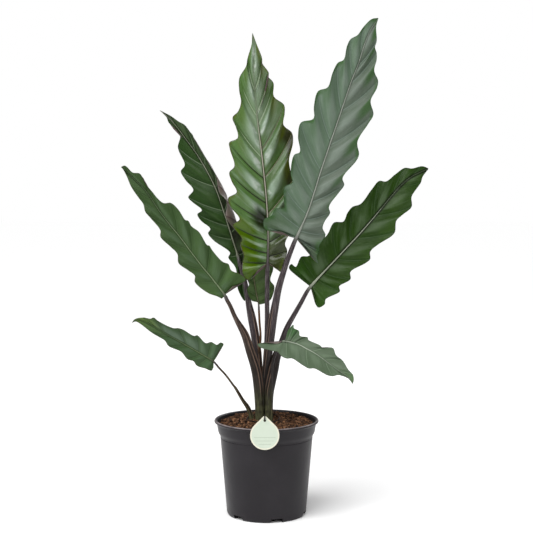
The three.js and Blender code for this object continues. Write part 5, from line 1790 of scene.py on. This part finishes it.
# Soft boxes: name, place, width and height, power in watts, and the point that they face.
LIGHTS = (
    ("left_box", (-1.9, -1.5, 1.0), (0.5, 2.0), 16.0, (0.0, 0.0, 0.4)),
    ("right_box", (1.7, -2.0, 1.3), (1.0, 1.6), 12.0, (0.0, 0.0, 0.5)),
    ("front_box", (0.25, -2.9, 1.7), (0.7, 0.9), 10.0, (0.0, 0.0, 0.4)),
    ("back_box", (0.9, 1.9, 1.8), (1.4, 1.2), 14.0, (0.0, 0.0, 0.5)),
)
# These light the plant but give no streak in the plastic.
UNREFLECTED = ("left_box", "front_box")
# A wide soft sun lights the plant and the whole floor from the upper left in front.
SUN_FROM = (-0.35, -0.5, 1.0)
SUN_STRENGTH = 3.05
SUN_ANGLE = math.radians(50)
# The white surroundings are this bright for the plant, and 1 for the camera.
SKY_LIGHT = 0.29
SENSOR_MM = 36.0
FARTHEST_SEEN = 60.0
FLOOR_HALF = 14.0


def build_stage(context):
    """Camera, pale floor, soft lights and pale surroundings."""
    settings = context.scene.alocasia_stage
    camera_data = bpy.data.cameras.new("camera")
    camera_data.lens = settings.lens
    camera_data.sensor_width = SENSOR_MM
    camera_data.clip_end = FARTHEST_SEEN
    camera = bpy.data.objects.new("camera", camera_data)
    camera.location = (0.0, -EYE_DISTANCE, EYE_HEIGHT)
    camera.rotation_euler = (math.pi / 2 - settings.pitch, 0.0, 0.0)
    context.scene.collection.objects.link(camera)
    context.scene.camera = camera
    half = FLOOR_HALF
    corners = [(-half, -half, 0.0), (half, -half, 0.0), (half, half, 0.0), (-half, half, 0.0)]
    finish = Finish("studio_floor", 0.75)
    finish.colour = tuple(settings.floor)
    floor = make_piece("studio_floor", corners, [(0, 1, 2, 3)], [finish.painted()])
    for name, place, size, power, target in LIGHTS:
        data = bpy.data.lights.new(name, "AREA")
        data.shape = "RECTANGLE"
        data.size, data.size_y = size
        data.energy = power
        add_light(context, data, place, target).visible_glossy = name not in UNREFLECTED
    data = bpy.data.lights.new("sun", "SUN")
    data.energy = SUN_STRENGTH
    data.angle = SUN_ANGLE
    add_light(context, data, SUN_FROM, (0.0, 0.0, 0.0))
    world = bpy.data.worlds.new("studio")
    context.scene.world = world
    world.use_nodes = True
    nodes = world.node_tree.nodes
    background = nodes["Background"]
    background.inputs["Color"].default_value = (1.0, 1.0, 1.0, 1.0)
    seen = nodes.new("ShaderNodeLightPath")
    strength = nodes.new("ShaderNodeMapRange")
    strength.inputs["To Min"].default_value = SKY_LIGHT
    strength.inputs["To Max"].default_value = 1.0
    world.node_tree.links.new(seen.outputs["Is Camera Ray"], strength.inputs["Value"])
    world.node_tree.links.new(strength.outputs[0], background.inputs["Strength"])
    context.scene.view_settings.view_transform = "Standard"


class ALOCASIA_OT_stage(bpy.types.Operator):
    """Set up the camera, the floor and the lights"""

    bl_idname = "alocasia.stage"
    bl_label = "Stage"

    def execute(self, context):
        build_stage(context)
        return {"FINISHED"}


class ALOCASIA_OT_pot(bpy.types.Operator):
    """Build the plastic pot"""

    bl_idname = "alocasia.pot"
    bl_label = "Pot"

    def execute(self, context):
        build_pot(context)
        return {"FINISHED"}


class ALOCASIA_OT_soil(bpy.types.Operator):
    """Build the potting mix with its crumbs and fibres"""

    bl_idname = "alocasia.soil"
    bl_label = "Potting mix"

    def execute(self, context):
        build_soil(context)
        return {"FINISHED"}


class ALOCASIA_OT_stalks(bpy.types.Operator):
    """Build the eight leaf stalks"""

    bl_idname = "alocasia.stalks"
    bl_label = "Stalks"

    def execute(self, context):
        for leaf in LEAVES:
            build_stalk(leaf, context)
        return {"FINISHED"}


class ALOCASIA_OT_blades(bpy.types.Operator):
    """Build the eight leaf blades"""

    bl_idname = "alocasia.blades"
    bl_label = "Blades"

    def execute(self, context):
        for leaf in LEAVES:
            build_blade(leaf, context)
        return {"FINISHED"}


class ALOCASIA_OT_tag(bpy.types.Operator):
    """Build the hang tag and its tie"""

    bl_idname = "alocasia.tag"
    bl_label = "Tag and tie"

    def execute(self, context):
        build_tag(context)
        build_tie()
        return {"FINISHED"}


OPERATORS = (
    ALOCASIA_OT_stage, ALOCASIA_OT_pot, ALOCASIA_OT_soil, ALOCASIA_OT_stalks, ALOCASIA_OT_blades,
    ALOCASIA_OT_tag,
)

SETTINGS = {
    "alocasia_stage": StageSettings,
    "alocasia_pot": PotSettings,
    "alocasia_soil": SoilSettings,
    "alocasia_stalk": StalkSettings,
    "alocasia_blade": BladeSettings,
    "alocasia_tag": TagSettings,
}


class ALOCASIA_PT_panel(bpy.types.Panel):
    """Lists the steps that build the plant"""

    bl_idname = "ALOCASIA_PT_panel"
    bl_label = "Potted Alocasia"
    bl_space_type = "VIEW_3D"
    bl_region_type = "UI"
    bl_category = "Alocasia"

    def draw(self, context):
        for operator in OPERATORS:
            self.layout.operator(operator.bl_idname)


def register():
    """Makes the settings, the steps and the panel known to Blender."""
    for settings in SETTINGS.values():
        bpy.utils.register_class(settings)
    for operator in OPERATORS:
        bpy.utils.register_class(operator)
    bpy.utils.register_class(ALOCASIA_PT_panel)
    for name, settings in SETTINGS.items():
        setattr(bpy.types.Scene, name, PointerProperty(type=settings))


def unregister():
    """Takes out what register put in."""
    for name in SETTINGS:
        delattr(bpy.types.Scene, name)
    bpy.utils.unregister_class(ALOCASIA_PT_panel)
    for operator in reversed(OPERATORS):
        bpy.utils.unregister_class(operator)
    for settings in reversed(SETTINGS.values()):
        bpy.utils.unregister_class(settings)


def main():
    """Builds the plant and its stage."""
    register()
    bpy.ops.alocasia.stage()
    bpy.ops.alocasia.pot()
    bpy.ops.alocasia.soil()
    bpy.ops.alocasia.stalks()
    bpy.ops.alocasia.blades()
    bpy.ops.alocasia.tag()
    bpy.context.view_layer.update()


if __name__ == "__main__":
    main()
